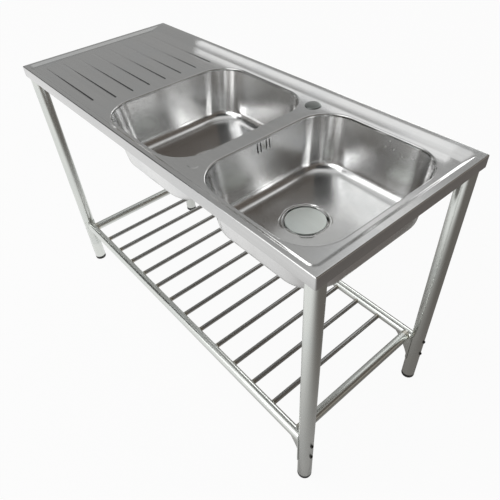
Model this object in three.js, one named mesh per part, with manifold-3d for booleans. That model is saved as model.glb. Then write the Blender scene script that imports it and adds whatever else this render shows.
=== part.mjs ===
// Free-standing kitchen sink unit: a pressed stainless top with a grooved drainboard and two bowls,
// carried by four round legs that are joined low down by a rack of round tubes.
// Millimetres. X runs along the unit, Y from front to back, Z up from the floor under its middle.
import * as THREE from "three";
import { mergeVertices } from "three/addons/utils/BufferGeometryUtils.js";
import Module from "manifold-3d";

const wasm = await Module();
wasm.setup();

// ---------------------------------------------------------------- driving dimensions

const unitLength = 1200;
const unitDepth = 500;
const unitHeight = 780;
const seat = 0.3; // clearance between two pieces that touch

// Deck: rolled rim, skirt with a folded hem, and a sunk field
const deckSheet = 1;
const skirtHeight = 30;
const skirtCornerRadius = 4;
const rimBendRadius = 3;
const hemRadius = 1.3;
const hemHeight = 8;
const recessDepth = 6;
const rim = { left: 12, right: 15, front: 10, back: 10 };
const slope = { left: 10, right: 11, front: 12, back: 50 };
const rimCornerRadius = 18;
const recessCornerRadius = 12;

// Bowl openings, which fill the depth between their front and back margins
const bowlLength = 345;
const bowlCornerRadius = 85;
const bowlEndMargin = 38; // from the deck's right edge
const bowlFrontMargin = 28; // from the deck's front edge
const bowlBackMargin = 5; // from the field's back line
const bowlDivider = 44;
const lipRadius = 3;
const lipHeight = 7;

// Pressed bowls, hung under the deck by their flanges
const bowlSheet = 1;
const bowlDepth = 143; // from the deck's field down to the bowl's floor
const bowlEndDraft = 5.5; // lean of the two end walls, degrees
const bowlSideDraft = 9.5; // lean of the front and back walls, degrees
const bowlFilletRadius = 28;
const bowlCornerGrowth = 4; // extra corner radius at the foot of the walls
const bowlFloorFall = 2.5;
const bowlFlangeWidth = 10;
const bowlBendRadius = 3.2;
const bowlLipClearance = 0.6;

// Waste in each bowl
const wasteShift = 24.5; // from the bowl's middle towards the divider
const wasteOffsetY = -11.2; // from the bowl's middle
const wasteFlangeRadius = 57.5;
const wasteFlangeHeight = 1.9;
const wasteBoreRadius = 52.5;
const wasteSheet = 0.8;
const wasteSeatDepth = 2;
const wasteLedgeDrop = 10;
const wasteCupHeight = 42;
const wasteOutletRadius = 30;
const gasketThickness = 3;
const bodyWall = 3;
const bodyDrop = 8; // room between the cup's bottom and the body's floor
const spigotRadius = 20;
const spigotLength = 38;
const coverRadius = 47;
const coverSheet = 0.8;
const basketDepth = 30;
const basketTaper = 5;
const knobRadius = 5;
const knobHeight = 16;

// Overflow in the right bowl's left wall
const overflowDrop = 21.5; // slots' middle below the deck's field
const overflowSlotWidth = 3.5;
const overflowSlotHeight = 23;
const overflowSlotOffsets = [-18, -8.5, 8.5, 18];
const overflowScrewRadius = 2;
const overflowScrewHead = 4;
const overflowRim = 3.5; // margin from the outer slots to the rubber ring's edge
const overflowGasket = 2;
const overflowBoxDepth = 14;
const overflowBoxWall = 1.6;
const overflowSpigotRadius = 6;
const overflowSpigotLength = 20;

// Tap hole with its blanking cap, behind the divider
const tapHoleRadius = 17.5;
const tapHoleShift = -5; // along X from the divider's middle
const capRadius = 21;
const capHeight = 3;
const capStemLength = 12;
const capWall = 2;

// Plain oval pressed in front of the divider
const ovalRadiusX = 15;
const ovalRadiusY = 11;
const ovalRise = 0.5;
const ovalSetback = 55; // from the deck's front edge

// Drainboard grooves
const grooveCount = 8;
const groovePitch = 51.5;
const grooveWidth = 9;
const grooveShallow = 0.8;
const grooveDeep = 2.5;
const grooveEndMargin = 59; // from the deck's left edge
const grooveBowlMargin = 39; // from the left bowl
const frontGrooveShort = 28;
const grooveShift = -3.5; // from the bowls' centre line

// Channels under the drainboard
const stiffenerWidth = 30;
const stiffenerHeight = 15;
const stiffenerSheet = 1;
const stiffenerEndMargin = 70; // from the deck's left edge
const stiffenerBowlGap = 12; // from the left bowl's flange

// Legs
const legRadius = 19;
const tubeWall = 1.2;
const legSetback = 2; // extra setback from the front and back skirts
const footHeight = 12;
const footStem = 22;
const footChamfer = 1.2;
const socketSheet = 2;
const socketReach = 46;
const socketGrip = 10; // how far a back socket's plate reaches under the flat field
const stubLength = 40;

// Rack
const rackHeight = 168;
const railRadius = 14;
const endRailInset = 34; // from the leg's axis
const slatRadius = 7;
const slatCount = 12;
const slatMargin = 98.5; // from an end rail's axis to the first slat's
const slatWall = 1;

// Brackets and their screws
const saddleSheet = 1.8;
const saddleHalfAngle = 62; // degrees
const bracketDrop = 88; // saddle's foot below the rack's axis
const saddleRise = 20;
const gussetLength = 54;
const gussetToe = 5;
const gussetSheet = 2.5;
const screwRadius = 2.5;
const screwHeadRadius = 4.5;
const screwHeadHeight = 3.6;
const screwRise = 7; // upper screw above the rack's axis
const screwSpacing = 55;
const screwEnd = 6; // how far a screw passes the saddle

// Smoothness of round forms
const legSides = 20;
const railSides = 18;
const slatSides = 10;
const latheSides = 22;
const skirtSegments = 4;
const bowlSegments = 6;

// ---------------------------------------------------------------- derived places

const rightEnd = unitLength / 2;
const backEdge = unitDepth / 2;
const fieldZ = unitHeight - recessDepth;
const skirtFoot = unitHeight - skirtHeight;
const recessBackY = backEdge - rim.back - slope.back;

const bowlFrontY = -backEdge + bowlFrontMargin;
const bowlWidth = recessBackY - bowlBackMargin - bowlFrontY;
const bowlY = bowlFrontY + bowlWidth / 2;
const rightBowlX = rightEnd - bowlEndMargin - bowlLength / 2;
const leftBowlX = rightBowlX - bowlLength - bowlDivider;
const dividerX = (rightBowlX + leftBowlX) / 2;
const bowlSetback = deckSheet + bowlLipClearance;
const flangeZ = fieldZ - deckSheet - seat;
const floorZ = fieldZ - bowlDepth;
const endDraft = THREE.MathUtils.degToRad(bowlEndDraft);
const sideDraft = THREE.MathUtils.degToRad(bowlSideDraft);
const wallTopZ = flangeZ - bowlBendRadius;

const legX = rightEnd - 2 * hemRadius - seat - legRadius;
const legY = backEdge - 2 * hemRadius - seat - legSetback - legRadius;
const socketTopZ = fieldZ - deckSheet - seat;
const legTopZ = socketTopZ - socketSheet - seat;
const endRailX = legX - endRailInset;
const saddleInner = legRadius + seat;
const saddleOuter = saddleInner + saddleSheet;

// ---------------------------------------------------------------- general shape helpers

// An open sheet of points and triangles, seen from its show side.
class Skin {
  constructor() {
    this.points = [];
    this.faces = [];
  }

  ring(points) {
    const first = this.points.length;
    this.points.push(...points);
    return points.map((_, i) => first + i);
  }

  band(outer, inner) {
    outer.forEach((a, i) => {
      const next = (i + 1) % outer.length;
      this.faces.push([a, outer[next], inner[next]], [a, inner[next], inner[i]]);
    });
  }

  bands(rings) {
    rings.slice(1).forEach((ring, k) => this.band(rings[k], ring));
  }

  fill(contour, holes = []) {
    const flat = (ring) => ring.map((i) => new THREE.Vector2(this.points[i].x, this.points[i].y));
    const order = [contour, ...holes].flat();
    const triangles = THREE.ShapeUtils.triangulateShape(flat(contour), holes.map(flat));
    for (const triangle of triangles) {
      const face = triangle.map((i) => order[i]);
      const up = THREE.ShapeUtils.area(flat(face)) > 0;
      this.faces.push(up ? face : face.reverse());
    }
  }
}

function faceNormal(points, [a, b, c]) {
  const along = points[b].clone().sub(points[a]);
  return along.cross(points[c].clone().sub(points[a])).normalize();
}

// The move that takes a corner to where its faces meet once each has gone in by the thickness.
function mitre(normals, thickness) {
  const rounding = 1e-3;
  const m = [rounding, 0, 0, 0, rounding, 0, 0, 0, rounding];
  const sum = new THREE.Vector3();
  for (const n of normals) {
    n.toArray().forEach((row, i) => n.toArray().forEach((column, j) => (m[3 * i + j] += row * column)));
    sum.add(n);
  }
  return sum.applyMatrix3(new THREE.Matrix3().set(...m).invert()).multiplyScalar(-thickness);
}

// Gives a skin its thickness behind the show side, and closes it along its edges.
function thicken(skin, thickness) {
  const normals = skin.points.map(() => []);
  for (const face of skin.faces) {
    const n = faceNormal(skin.points, face);
    for (const i of face) {
      if (!normals[i].some((other) => other.dot(n) > 0.99999)) normals[i].push(n);
    }
  }
  const count = skin.points.length;
  const back = skin.points.map((p, i) => p.clone().add(mitre(normals[i], thickness)));
  const edges = new Set(skin.faces.flatMap(([a, b, c]) => [`${a},${b}`, `${b},${c}`, `${c},${a}`]));
  const faces = skin.faces.flatMap(([a, b, c]) => [[a, b, c], [c + count, b + count, a + count]]);
  for (const edge of edges) {
    const [a, b] = edge.split(",").map(Number);
    if (edges.has(`${b},${a}`)) continue;
    faces.push([b, a, a + count], [b, a + count, b + count]);
  }
  return closedGeometry([...skin.points, ...back], faces);
}

function volumeOf(points, faces) {
  return faces.reduce((sum, [a, b, c]) => sum + points[a].dot(points[b].clone().cross(points[c])), 0) / 6;
}

function closedGeometry(points, faces) {
  const outward = volumeOf(points, faces) > 0;
  const geometry = new THREE.BufferGeometry().setFromPoints(points);
  geometry.setIndex(faces.flatMap((face) => (outward ? face : [...face].reverse())));
  return geometry;
}

function welded(geometry) {
  geometry.deleteAttribute("normal");
  geometry.deleteAttribute("uv");
  return mergeVertices(geometry, 1e-4);
}

function solid(geometry) {
  const merged = welded(geometry);
  const vertProperties = new Float32Array(merged.attributes.position.array);
  const triVerts = new Uint32Array(merged.index.array);
  return new wasm.Manifold(new wasm.Mesh({ numProp: 3, vertProperties, triVerts }));
}

function fromSolid(body) {
  const mesh = body.getMesh();
  const geometry = new THREE.BufferGeometry();
  geometry.setAttribute("position", new THREE.BufferAttribute(mesh.vertProperties, 3));
  geometry.setIndex(new THREE.BufferAttribute(mesh.triVerts, 1));
  return geometry;
}

const united = (...pieces) => fromSolid(pieces.map(solid).reduce((a, b) => a.add(b)));

const cutBy = (piece, cutters) =>
  fromSolid(cutters.map(solid).reduce((body, cutter) => body.subtract(cutter), solid(piece)));

// Turned form about the Z axis, from [radius, height] points; a profile off the axis is closed.
function turned(profile, sides = latheSides) {
  const onAxis = profile[0][0] === 0;
  const outline = onAxis ? profile : [...profile, profile[0]];
  const lathe = new THREE.LatheGeometry(outline.map(([r, z]) => new THREE.Vector2(r, z)), sides);
  lathe.rotateX(Math.PI / 2);
  const merged = welded(lathe);
  const position = merged.attributes.position;
  const points = Array.from({ length: position.count }, (_, i) =>
    new THREE.Vector3().fromBufferAttribute(position, i));
  const index = Array.from(merged.index.array);
  const faces = [];
  for (let i = 0; i < index.length; i += 3) {
    const [a, b, c] = index.slice(i, i + 3);
    if (a !== b && b !== c && c !== a) faces.push([a, b, c]);
  }
  return closedGeometry(points, faces);
}

const ringTube = (outer, inner, low, high, sides = latheSides) =>
  turned([[outer, low], [outer, high], [inner, high], [inner, low]], sides);

function boxAt(x, y, z, sizeX, sizeY, sizeZ) {
  return new THREE.BoxGeometry(sizeX, sizeY, sizeZ).translate(x, y, z);
}

// Rounded rectangle in plan, anticlockwise from the front right corner.
function roundedRectangle({ x0, x1, y0, y1, radius, z }, segments) {
  const corners = [[x1, y0, -1, 1, -90], [x1, y1, -1, -1, 0], [x0, y1, 1, -1, 90], [x0, y0, 1, 1, 180]];
  return corners.flatMap(([x, y, inX, inY, start]) =>
    Array.from({ length: segments + 1 }, (_, i) => {
      const angle = THREE.MathUtils.degToRad(start + (90 * i) / segments);
      const cx = x + inX * radius;
      const cy = y + inY * radius;
      return new THREE.Vector3(cx + radius * Math.cos(angle), cy + radius * Math.sin(angle), z);
    }));
}

function circle(x, y, radius, z, count, start = 0) {
  return ellipse(x, y, radius, radius, z, count, start);
}

function ellipse(x, y, radiusX, radiusY, z, count, start = 0) {
  return Array.from({ length: count }, (_, i) => {
    const angle = start + (2 * Math.PI * i) / count;
    return new THREE.Vector3(x + radiusX * Math.cos(angle), y + radiusY * Math.sin(angle), z);
  });
}

// Radius of a hole's corners that keeps its flat sides outside the given round.
const around = (radius, count) => radius / Math.cos(Math.PI / count);

// Round tube along X; each end is cut where endLow or endHigh puts it for a point (y, z) of its wall.
function copedTube(radius, wall, sides, endLow, endHigh) {
  const skin = new Skin();
  const wallRing = (r, end) => skin.ring(Array.from({ length: sides }, (_, i) => {
    const angle = (2 * Math.PI * i) / sides;
    const y = r * Math.cos(angle);
    const z = r * Math.sin(angle);
    return new THREE.Vector3(end(y, z), y, z);
  }));
  const bore = radius - wall;
  const rings = [wallRing(radius, endLow), wallRing(radius, endHigh)];
  rings.push(wallRing(bore, endHigh), wallRing(bore, endLow));
  skin.bands([...rings, rings[0]]);
  return closedGeometry(skin.points, skin.faces);
}

// How far from its start a tube may run before it meets a round wall at the given distance.
const cope = (distance, wallRadius, offset) => distance - Math.sqrt(wallRadius ** 2 - offset ** 2);

// ---------------------------------------------------------------- deck

function deckRing(inset, radius, z) {
  const { left, right, front, back } = inset;
  const outline = { x0: -rightEnd + left, x1: rightEnd - right, y0: -backEdge + front, y1: backEdge - back };
  return roundedRectangle({ ...outline, radius, z }, skirtSegments);
}

const evenInset = (inset) => ({ left: inset, right: inset, front: inset, back: inset });

function skirtAndRim(skin) {
  const bend = 3;
  const outline = [[2 * hemRadius, skirtFoot + hemHeight]];
  for (let i = 0; i <= bend; i++) {
    const angle = (Math.PI * i) / bend;
    outline.push([hemRadius * (1 + Math.cos(angle)), skirtFoot + hemRadius * (1 - Math.sin(angle))]);
  }
  for (let i = 0; i <= bend; i++) {
    const angle = (Math.PI / 2) * (i / bend);
    const down = rimBendRadius * (1 - Math.sin(angle));
    outline.push([rimBendRadius * (1 - Math.cos(angle)), unitHeight - down]);
  }
  const rings = outline.map(([inset, z]) =>
    skin.ring(deckRing(evenInset(inset), Math.max(skirtCornerRadius - inset, 0.5), z)));
  rings.push(skin.ring(deckRing(rim, rimCornerRadius, unitHeight)));
  const field = Object.fromEntries(Object.keys(rim).map((side) => [side, rim[side] + slope[side]]));
  rings.push(skin.ring(deckRing(field, recessCornerRadius, fieldZ)));
  skin.bands(rings);
  return rings.at(-1);
}

function bowlOutline(bowlX, grow, z, cornerGrow = 0, growY = grow) {
  const halfLength = bowlLength / 2 + grow;
  const halfWidth = bowlWidth / 2 + growY;
  return roundedRectangle({
    x0: bowlX - halfLength, x1: bowlX + halfLength, y0: bowlY - halfWidth, y1: bowlY + halfWidth,
    radius: bowlCornerRadius + grow + cornerGrow, z,
  }, bowlSegments);
}

// Rounded edge turned down into a bowl's opening.
function openingLip(skin, bowlX) {
  const bend = 3;
  const rings = Array.from({ length: bend + 1 }, (_, i) => {
    const angle = (Math.PI / 2) * (i / bend);
    const grow = lipRadius * (1 - Math.sin(angle));
    return skin.ring(bowlOutline(bowlX, grow, fieldZ - lipRadius * (1 - Math.cos(angle))));
  });
  rings.push(skin.ring(bowlOutline(bowlX, 0, fieldZ - lipHeight)));
  skin.bands(rings);
  return rings[0];
}

const grooveStartX = -rightEnd + grooveEndMargin;
const grooveEndX = leftBowlX - bowlLength / 2 - grooveBowlMargin;

function grooveDepth(x) {
  const share = (x - grooveStartX) / (grooveEndX - grooveStartX);
  return grooveShallow + (grooveDeep - grooveShallow) * share;
}

function grooveOutline(y, endX, halfWidth, depthAt) {
  const turn = 4;
  const outset = grooveWidth / 2;
  const ends = [[endX - outset, -90], [grooveStartX + outset, 90]];
  return ends.flatMap(([x, start]) => Array.from({ length: turn + 1 }, (_, i) => {
    const angle = THREE.MathUtils.degToRad(start + (180 * i) / turn);
    const px = x + halfWidth * Math.cos(angle);
    return new THREE.Vector3(px, y + halfWidth * Math.sin(angle), fieldZ - depthAt(px));
  }));
}

function groove(skin, number) {
  const y = bowlY + grooveShift + (number - (grooveCount - 1) / 2) * groovePitch;
  const endX = number === 0 ? grooveEndX - frontGrooveShort : grooveEndX;
  const edge = skin.ring(grooveOutline(y, endX, grooveWidth / 2, () => 0));
  const bed = skin.ring(grooveOutline(y, endX, grooveWidth / 5, grooveDepth));
  skin.band(edge, bed);
  skin.fill(bed);
  return edge;
}

function pressedOval(skin) {
  const y = -backEdge + ovalSetback;
  const count = 16;
  const edge = skin.ring(ellipse(dividerX, y, ovalRadiusX, ovalRadiusY, fieldZ, count));
  const inner = ellipse(dividerX, y, ovalRadiusX - 2 * ovalRise, ovalRadiusY - 2 * ovalRise,
    fieldZ + ovalRise, count);
  const top = skin.ring(inner);
  skin.band(edge, top);
  skin.fill(top);
  return edge;
}

const tapHole = { x: dividerX + tapHoleShift, y: recessBackY - capRadius - 0.5 };

function deckGeometry() {
  const skin = new Skin();
  const field = skirtAndRim(skin);
  const holes = [openingLip(skin, leftBowlX), openingLip(skin, rightBowlX), pressedOval(skin)];
  const count = 16;
  holes.push(skin.ring(circle(tapHole.x, tapHole.y, around(tapHoleRadius, count), fieldZ, count)));
  for (let number = 0; number < grooveCount; number++) holes.push(groove(skin, number));
  skin.fill(field, holes);
  return thicken(skin, deckSheet);
}

// ---------------------------------------------------------------- bowls

const filletMiddleZ = floorZ + bowlFloorFall + bowlFilletRadius;

// How far a wall of the given lean has come in at height z.
function wallInset(z, draft) {
  const filletTopZ = filletMiddleZ - bowlFilletRadius * Math.sin(draft);
  if (z >= filletTopZ) return (wallTopZ - z) * Math.tan(draft);
  const filletMiddle = (wallTopZ - filletTopZ) * Math.tan(draft) + bowlFilletRadius * Math.cos(draft);
  return filletMiddle - Math.sqrt(bowlFilletRadius ** 2 - (filletMiddleZ - z) ** 2);
}

function bowlSkin(bowlX) {
  const skin = new Skin();
  const bend = 2;
  const fillet = 4;
  const rings = [bowlOutline(bowlX, lipRadius + bowlFlangeWidth, flangeZ)];
  for (let i = 0; i <= bend; i++) {
    const angle = (Math.PI / 2) * (i / bend);
    const grow = bowlSetback + bowlBendRadius * (1 - Math.sin(angle));
    rings.push(bowlOutline(bowlX, grow, flangeZ - bowlBendRadius * (1 - Math.cos(angle))));
  }
  const start = Math.min(endDraft, sideDraft);
  for (let i = 0; i <= fillet; i++) {
    const angle = start + (Math.PI / 2 - start) * (i / fillet);
    const z = filletMiddleZ - bowlFilletRadius * Math.sin(angle);
    const [growX, growY] = [endDraft, sideDraft].map((draft) => bowlSetback - wallInset(z, draft));
    rings.push(bowlOutline(bowlX, growX, z, bowlCornerGrowth, growY));
  }
  const waste = wastePlace(bowlX);
  const count = rings[0].length;
  const turn = (-90 + 90 / (2 * (bowlSegments + 1))) * (Math.PI / 180);
  const round = (radius, z) => circle(waste.x, waste.y, radius, z, count, turn);
  const seatRadius = wasteFlangeRadius + 1.5;
  rings.push(round(seatRadius, floorZ));
  rings.push(round(seatRadius - 1, floorZ - wasteSeatDepth));
  rings.push(round(around(wasteBoreRadius + wasteSheet + seat, count), floorZ - wasteSeatDepth));
  skin.bands(rings.map((ring) => skin.ring(ring)));
  return skin;
}

const wastePlace = (bowlX) => ({
  x: bowlX + Math.sign(dividerX - bowlX) * wasteShift,
  y: bowlY + wasteOffsetY,
});

const bowlGeometry = (bowlX) => thicken(bowlSkin(bowlX), bowlSheet);

// Everything at the overflow is drawn flat on X = 0, which is the wall's inner face, and leans with it.
const overflowPlace = {
  x: rightBowlX - bowlLength / 2 - bowlSetback + wallInset(fieldZ - overflowDrop, endDraft),
  y: bowlY + 1,
  z: fieldZ - overflowDrop,
};

function ontoOverflow(geometry) {
  return geometry.rotateY(-endDraft).translate(overflowPlace.x, overflowPlace.y, overflowPlace.z);
}

function rightBowlGeometry() {
  const reach = 6 * bowlSheet;
  const cutters = overflowSlotOffsets.map((y) =>
    boxAt(0, y, 0, reach, overflowSlotWidth, overflowSlotHeight));
  cutters.push(ringPin(overflowScrewRadius + seat, -reach / 2, reach / 2, 8));
  return cutBy(bowlGeometry(rightBowlX), cutters.map(ontoOverflow));
}

// Plain round bar along X.
function ringPin(radius, low, high, sides) {
  return turned([[0, low], [radius, low], [radius, high], [0, high]], sides).rotateY(Math.PI / 2);
}

// ---------------------------------------------------------------- overflow

const overflowHalfWidth = Math.max(...overflowSlotOffsets) + overflowSlotWidth / 2 + overflowRim;
const overflowHalfHeight = overflowSlotHeight / 2 + overflowRim;
const overflowGasketX = -bowlSheet - seat;
const overflowBoxX = overflowGasketX - overflowGasket - seat;

function overflowRingGeometry() {
  const middle = overflowGasketX - overflowGasket / 2;
  const outer = boxAt(middle, 0, 0, overflowGasket, 2 * overflowHalfWidth, 2 * overflowHalfHeight);
  const width = 2 * (overflowHalfWidth - overflowBoxWall);
  const height = 2 * (overflowHalfHeight - overflowBoxWall);
  return cutBy(outer, [boxAt(middle, 0, 0, 2 * overflowGasket, width, height)]);
}

function overflowBoxGeometry() {
  const wall = overflowBoxWall;
  const middle = overflowBoxX - overflowBoxDepth / 2;
  const tray = boxAt(middle, 0, 0, overflowBoxDepth, 2 * overflowHalfWidth, 2 * overflowHalfHeight);
  const roomWidth = 2 * (overflowHalfWidth - wall);
  const roomHeight = 2 * (overflowHalfHeight - wall);
  const room = boxAt(middle + wall, 0, 0, overflowBoxDepth, roomWidth, roomHeight);
  const foot = -overflowHalfHeight - overflowSpigotLength;
  const overlap = wall / 2;
  const spigot = turned([
    [0, foot], [overflowSpigotRadius, foot],
    [overflowSpigotRadius, -overflowHalfHeight + overlap], [0, -overflowHalfHeight + overlap],
  ], 12).translate(middle, 0, 0);
  const boreRadius = overflowSpigotRadius - wall;
  const bore = turned([
    [0, foot - 1], [boreRadius, foot - 1],
    [boreRadius, -overflowHalfHeight + 2 * wall], [0, -overflowHalfHeight + 2 * wall],
  ], 12).translate(middle, 0, 0);
  const boss = ringPin(overflowScrewRadius + seat + wall, overflowBoxX - overflowBoxDepth + wall / 2,
    overflowBoxX, 10);
  const screwHole = ringPin(overflowScrewRadius + seat, overflowBoxX - overflowBoxDepth + 2 * wall,
    overflowBoxX + 1, 10);
  const shell = united(cutBy(tray, [room]), spigot, boss);
  return cutBy(shell, [bore, screwHole]);
}

function overflowScrewGeometry() {
  const tip = overflowBoxX - overflowBoxDepth / 2;
  const head = overflowScrewHead;
  return turned([
    [0, tip], [overflowScrewRadius, tip], [overflowScrewRadius, seat], [head, seat],
    [head, seat + 0.8], [head * 0.6, seat + 1.6], [0, seat + 1.8],
  ], 8).rotateY(Math.PI / 2);
}

// ---------------------------------------------------------------- waste, heights from the bowl's floor

const flangeSeatZ = -wasteSeatDepth + seat;
const flangeTopZ = flangeSeatZ + wasteFlangeHeight;
const ledgeZ = -wasteLedgeDrop;
const cupFloorZ = -wasteCupHeight;
const cupInnerRadius = wasteBoreRadius - 4;
const gasketTopZ = -wasteSeatDepth - bowlSheet - seat;
const bodyTopZ = gasketTopZ - gasketThickness - seat;
const bodyFloorZ = cupFloorZ - wasteSheet - bodyDrop;
const basketSeatZ = ledgeZ + seat;

function wasteCupGeometry() {
  const t = wasteSheet;
  return turned([
    [wasteFlangeRadius, flangeSeatZ], [wasteFlangeRadius, flangeSeatZ + 0.4 * wasteFlangeHeight],
    [wasteFlangeRadius - 2.5, flangeTopZ], [wasteBoreRadius + 1, flangeTopZ],
    [wasteBoreRadius, flangeTopZ - 1.2], [wasteBoreRadius, ledgeZ], [cupInnerRadius, ledgeZ],
    [cupInnerRadius, cupFloorZ], [wasteOutletRadius, cupFloorZ], [wasteOutletRadius, cupFloorZ - t],
    [cupInnerRadius + t, cupFloorZ - t], [cupInnerRadius + t, ledgeZ - t],
    [wasteBoreRadius + t, ledgeZ - t], [wasteBoreRadius + t, flangeSeatZ],
  ]);
}

const wasteGasketGeometry = () =>
  ringTube(wasteFlangeRadius, wasteBoreRadius + wasteSheet + seat, gasketTopZ - gasketThickness, gasketTopZ);

function wasteBodyGeometry() {
  const bore = wasteBoreRadius + wasteSheet + seat;
  const wallRadius = bore + bodyWall;
  const mouth = bodyTopZ - bodyWall;
  const floor = bodyFloorZ - bodyWall;
  return turned([
    [bore, bodyTopZ], [wallRadius + 3, bodyTopZ], [wallRadius + 3, mouth], [wallRadius, mouth],
    [wallRadius, floor], [spigotRadius, floor], [spigotRadius, floor - spigotLength],
    [spigotRadius - bodyWall, floor - spigotLength], [spigotRadius - bodyWall, bodyFloorZ],
    [bore, bodyFloorZ],
  ]);
}

function basketGeometry() {
  const t = wasteSheet;
  const wall = cupInnerRadius - seat;
  const floor = basketSeatZ - basketDepth;
  return turned([
    [0, floor - t], [wall - basketTaper, floor - t], [wall, basketSeatZ], [wasteBoreRadius - seat, basketSeatZ],
    [wasteBoreRadius - seat, basketSeatZ + t], [wall - t, basketSeatZ + t], [wall - t - basketTaper, floor],
    [knobRadius - 2, floor], [knobRadius - 2, floor + knobHeight - 3], [knobRadius, floor + knobHeight - 2],
    [knobRadius - 1, floor + knobHeight], [0, floor + knobHeight],
  ]);
}

const coverFootZ = basketSeatZ + wasteSheet + seat;

function coverGeometry() {
  const top = flangeTopZ;
  const t = coverSheet;
  return turned([
    [0, top], [coverRadius - 1, top], [coverRadius, top - 1], [coverRadius, coverFootZ],
    [coverRadius - t, coverFootZ], [coverRadius - t, top - t], [0, top - t],
  ]);
}

// ---------------------------------------------------------------- tap hole cap, heights from the field

function tapCapGeometry() {
  const stem = tapHoleRadius - seat;
  return turned([
    [0, seat + capHeight], [capRadius * 0.6, seat + capHeight * 0.9], [capRadius - 1, seat + capHeight * 0.5],
    [capRadius, seat], [stem, seat], [stem, -capStemLength], [stem - capWall, -capStemLength],
    [stem - capWall, 0], [0, 0],
  ]);
}

// ---------------------------------------------------------------- channels under the drainboard

function stiffenerGeometry() {
  const start = -rightEnd + stiffenerEndMargin;
  const end = leftBowlX - bowlLength / 2 - lipRadius - bowlFlangeWidth - stiffenerBowlGap;
  const half = stiffenerWidth / 2;
  const t = stiffenerSheet;
  const shape = new THREE.Shape([
    [-half, 0], [-half, -stiffenerHeight], [-half + t, -stiffenerHeight], [-half + t, -t],
    [half - t, -t], [half - t, -stiffenerHeight], [half, -stiffenerHeight], [half, 0],
  ].map(([y, z]) => new THREE.Vector2(y, z)));
  const channel = new THREE.ExtrudeGeometry(shape, { depth: end - start, bevelEnabled: false });
  return channel.rotateX(Math.PI / 2).rotateZ(Math.PI / 2).translate(start, 0, socketTopZ);
}

// ---------------------------------------------------------------- legs

const screwHeights = [rackHeight + screwRise, rackHeight + screwRise - screwSpacing];
const screwReach = saddleOuter + screwEnd;
const screwHole = (z) => ringPin(screwRadius + seat, -screwReach - 1, 2 * legRadius, 8).translate(0, 0, z);

function legGeometry() {
  const tube = ringTube(legRadius, legRadius - tubeWall, footHeight + seat, legTopZ, legSides);
  return cutBy(tube, screwHeights.map(screwHole));
}

function footGeometry() {
  const stem = legRadius - tubeWall - seat;
  return turned([
    [0, 0], [legRadius - footChamfer, 0], [legRadius, footChamfer], [legRadius, footHeight],
    [stem, footHeight], [stem, footHeight + footStem], [0, footHeight + footStem],
  ], legSides);
}

// Plate under the deck's corner, with a stub that fills the leg's top; sideX and sideY name the corner.
function socketGeometry(sideX, sideY) {
  const outerX = rightEnd - deckSheet - seat;
  const outerY = backEdge - deckSheet - seat;
  const innerX = outerX - socketReach;
  const innerY = sideY > 0 ? recessBackY - socketGrip : outerY - socketReach;
  const corner = skirtCornerRadius;
  const outline = new THREE.Shape([
    [innerX, innerY], [outerX, innerY], [outerX, outerY - corner], [outerX - corner, outerY], [innerX, outerY],
  ].map(([x, y]) => new THREE.Vector2(sideX * x, sideY * y)));
  const plate = new THREE.ExtrudeGeometry(outline, { depth: socketSheet, bevelEnabled: false })
    .translate(0, 0, socketTopZ - socketSheet);
  const stubRadius = legRadius - tubeWall - seat;
  const stubTop = socketTopZ - socketSheet / 2;
  const stub = ringTube(stubRadius, stubRadius - socketSheet, legTopZ - stubLength, stubTop, legSides);
  return united(plate, stub.translate(sideX * legX, sideY * legY, 0));
}

// ---------------------------------------------------------------- rack

function longRailGeometry() {
  const end = (y) => cope(legX, saddleOuter + seat, y);
  return copedTube(railRadius, tubeWall, railSides, (y) => -end(y), end);
}

function crossTubeGeometry(radius, wall, sides) {
  const end = (y, z) => cope(legY, railRadius + seat, z);
  return copedTube(radius, wall, sides, (y, z) => -end(y, z), end).rotateZ(Math.PI / 2);
}

// Bracket for a right-hand leg whose axis stands at X = Y = 0; the gusset runs towards -X.
function bracketGeometry() {
  const foot = rackHeight - bracketDrop;
  const half = THREE.MathUtils.degToRad(saddleHalfAngle);
  const saddle = new THREE.Shape();
  saddle.absarc(0, 0, saddleOuter, Math.PI - half, Math.PI + half, false);
  saddle.absarc(0, 0, saddleInner, Math.PI + half, Math.PI - half, true);
  const wrap = new THREE.ExtrudeGeometry(saddle, {
    depth: bracketDrop + saddleRise, bevelEnabled: false, curveSegments: 9,
  }).translate(0, 0, foot);
  const root = -saddleOuter + saddleSheet / 2;
  const tip = -saddleOuter - gussetLength;
  const top = rackHeight - railRadius - seat;
  const gusset = new THREE.Shape();
  gusset.moveTo(root, foot);
  gusset.lineTo(root, top);
  gusset.lineTo(tip, top);
  gusset.lineTo(tip, top - gussetToe);
  gusset.quadraticCurveTo(tip + gussetLength * 0.62, (top + foot) / 2 + 6, -saddleOuter - 2, foot);
  const plate = new THREE.ExtrudeGeometry(gusset, {
    depth: gussetSheet, bevelEnabled: false, curveSegments: 8,
  }).rotateX(Math.PI / 2).translate(0, gussetSheet / 2, 0);
  return cutBy(united(wrap, plate), screwHeights.map(screwHole));
}

function legScrewGeometry() {
  const base = legRadius + seat;
  return turned([
    [0, -screwReach], [screwRadius, -screwReach], [screwRadius, base], [screwHeadRadius, base],
    [screwHeadRadius, base + screwHeadHeight * 0.35], [screwHeadRadius * 0.7, base + screwHeadHeight * 0.85],
    [0, base + screwHeadHeight],
  ], 8).rotateY(Math.PI / 2);
}

// ---------------------------------------------------------------- finishes and assembly

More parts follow.
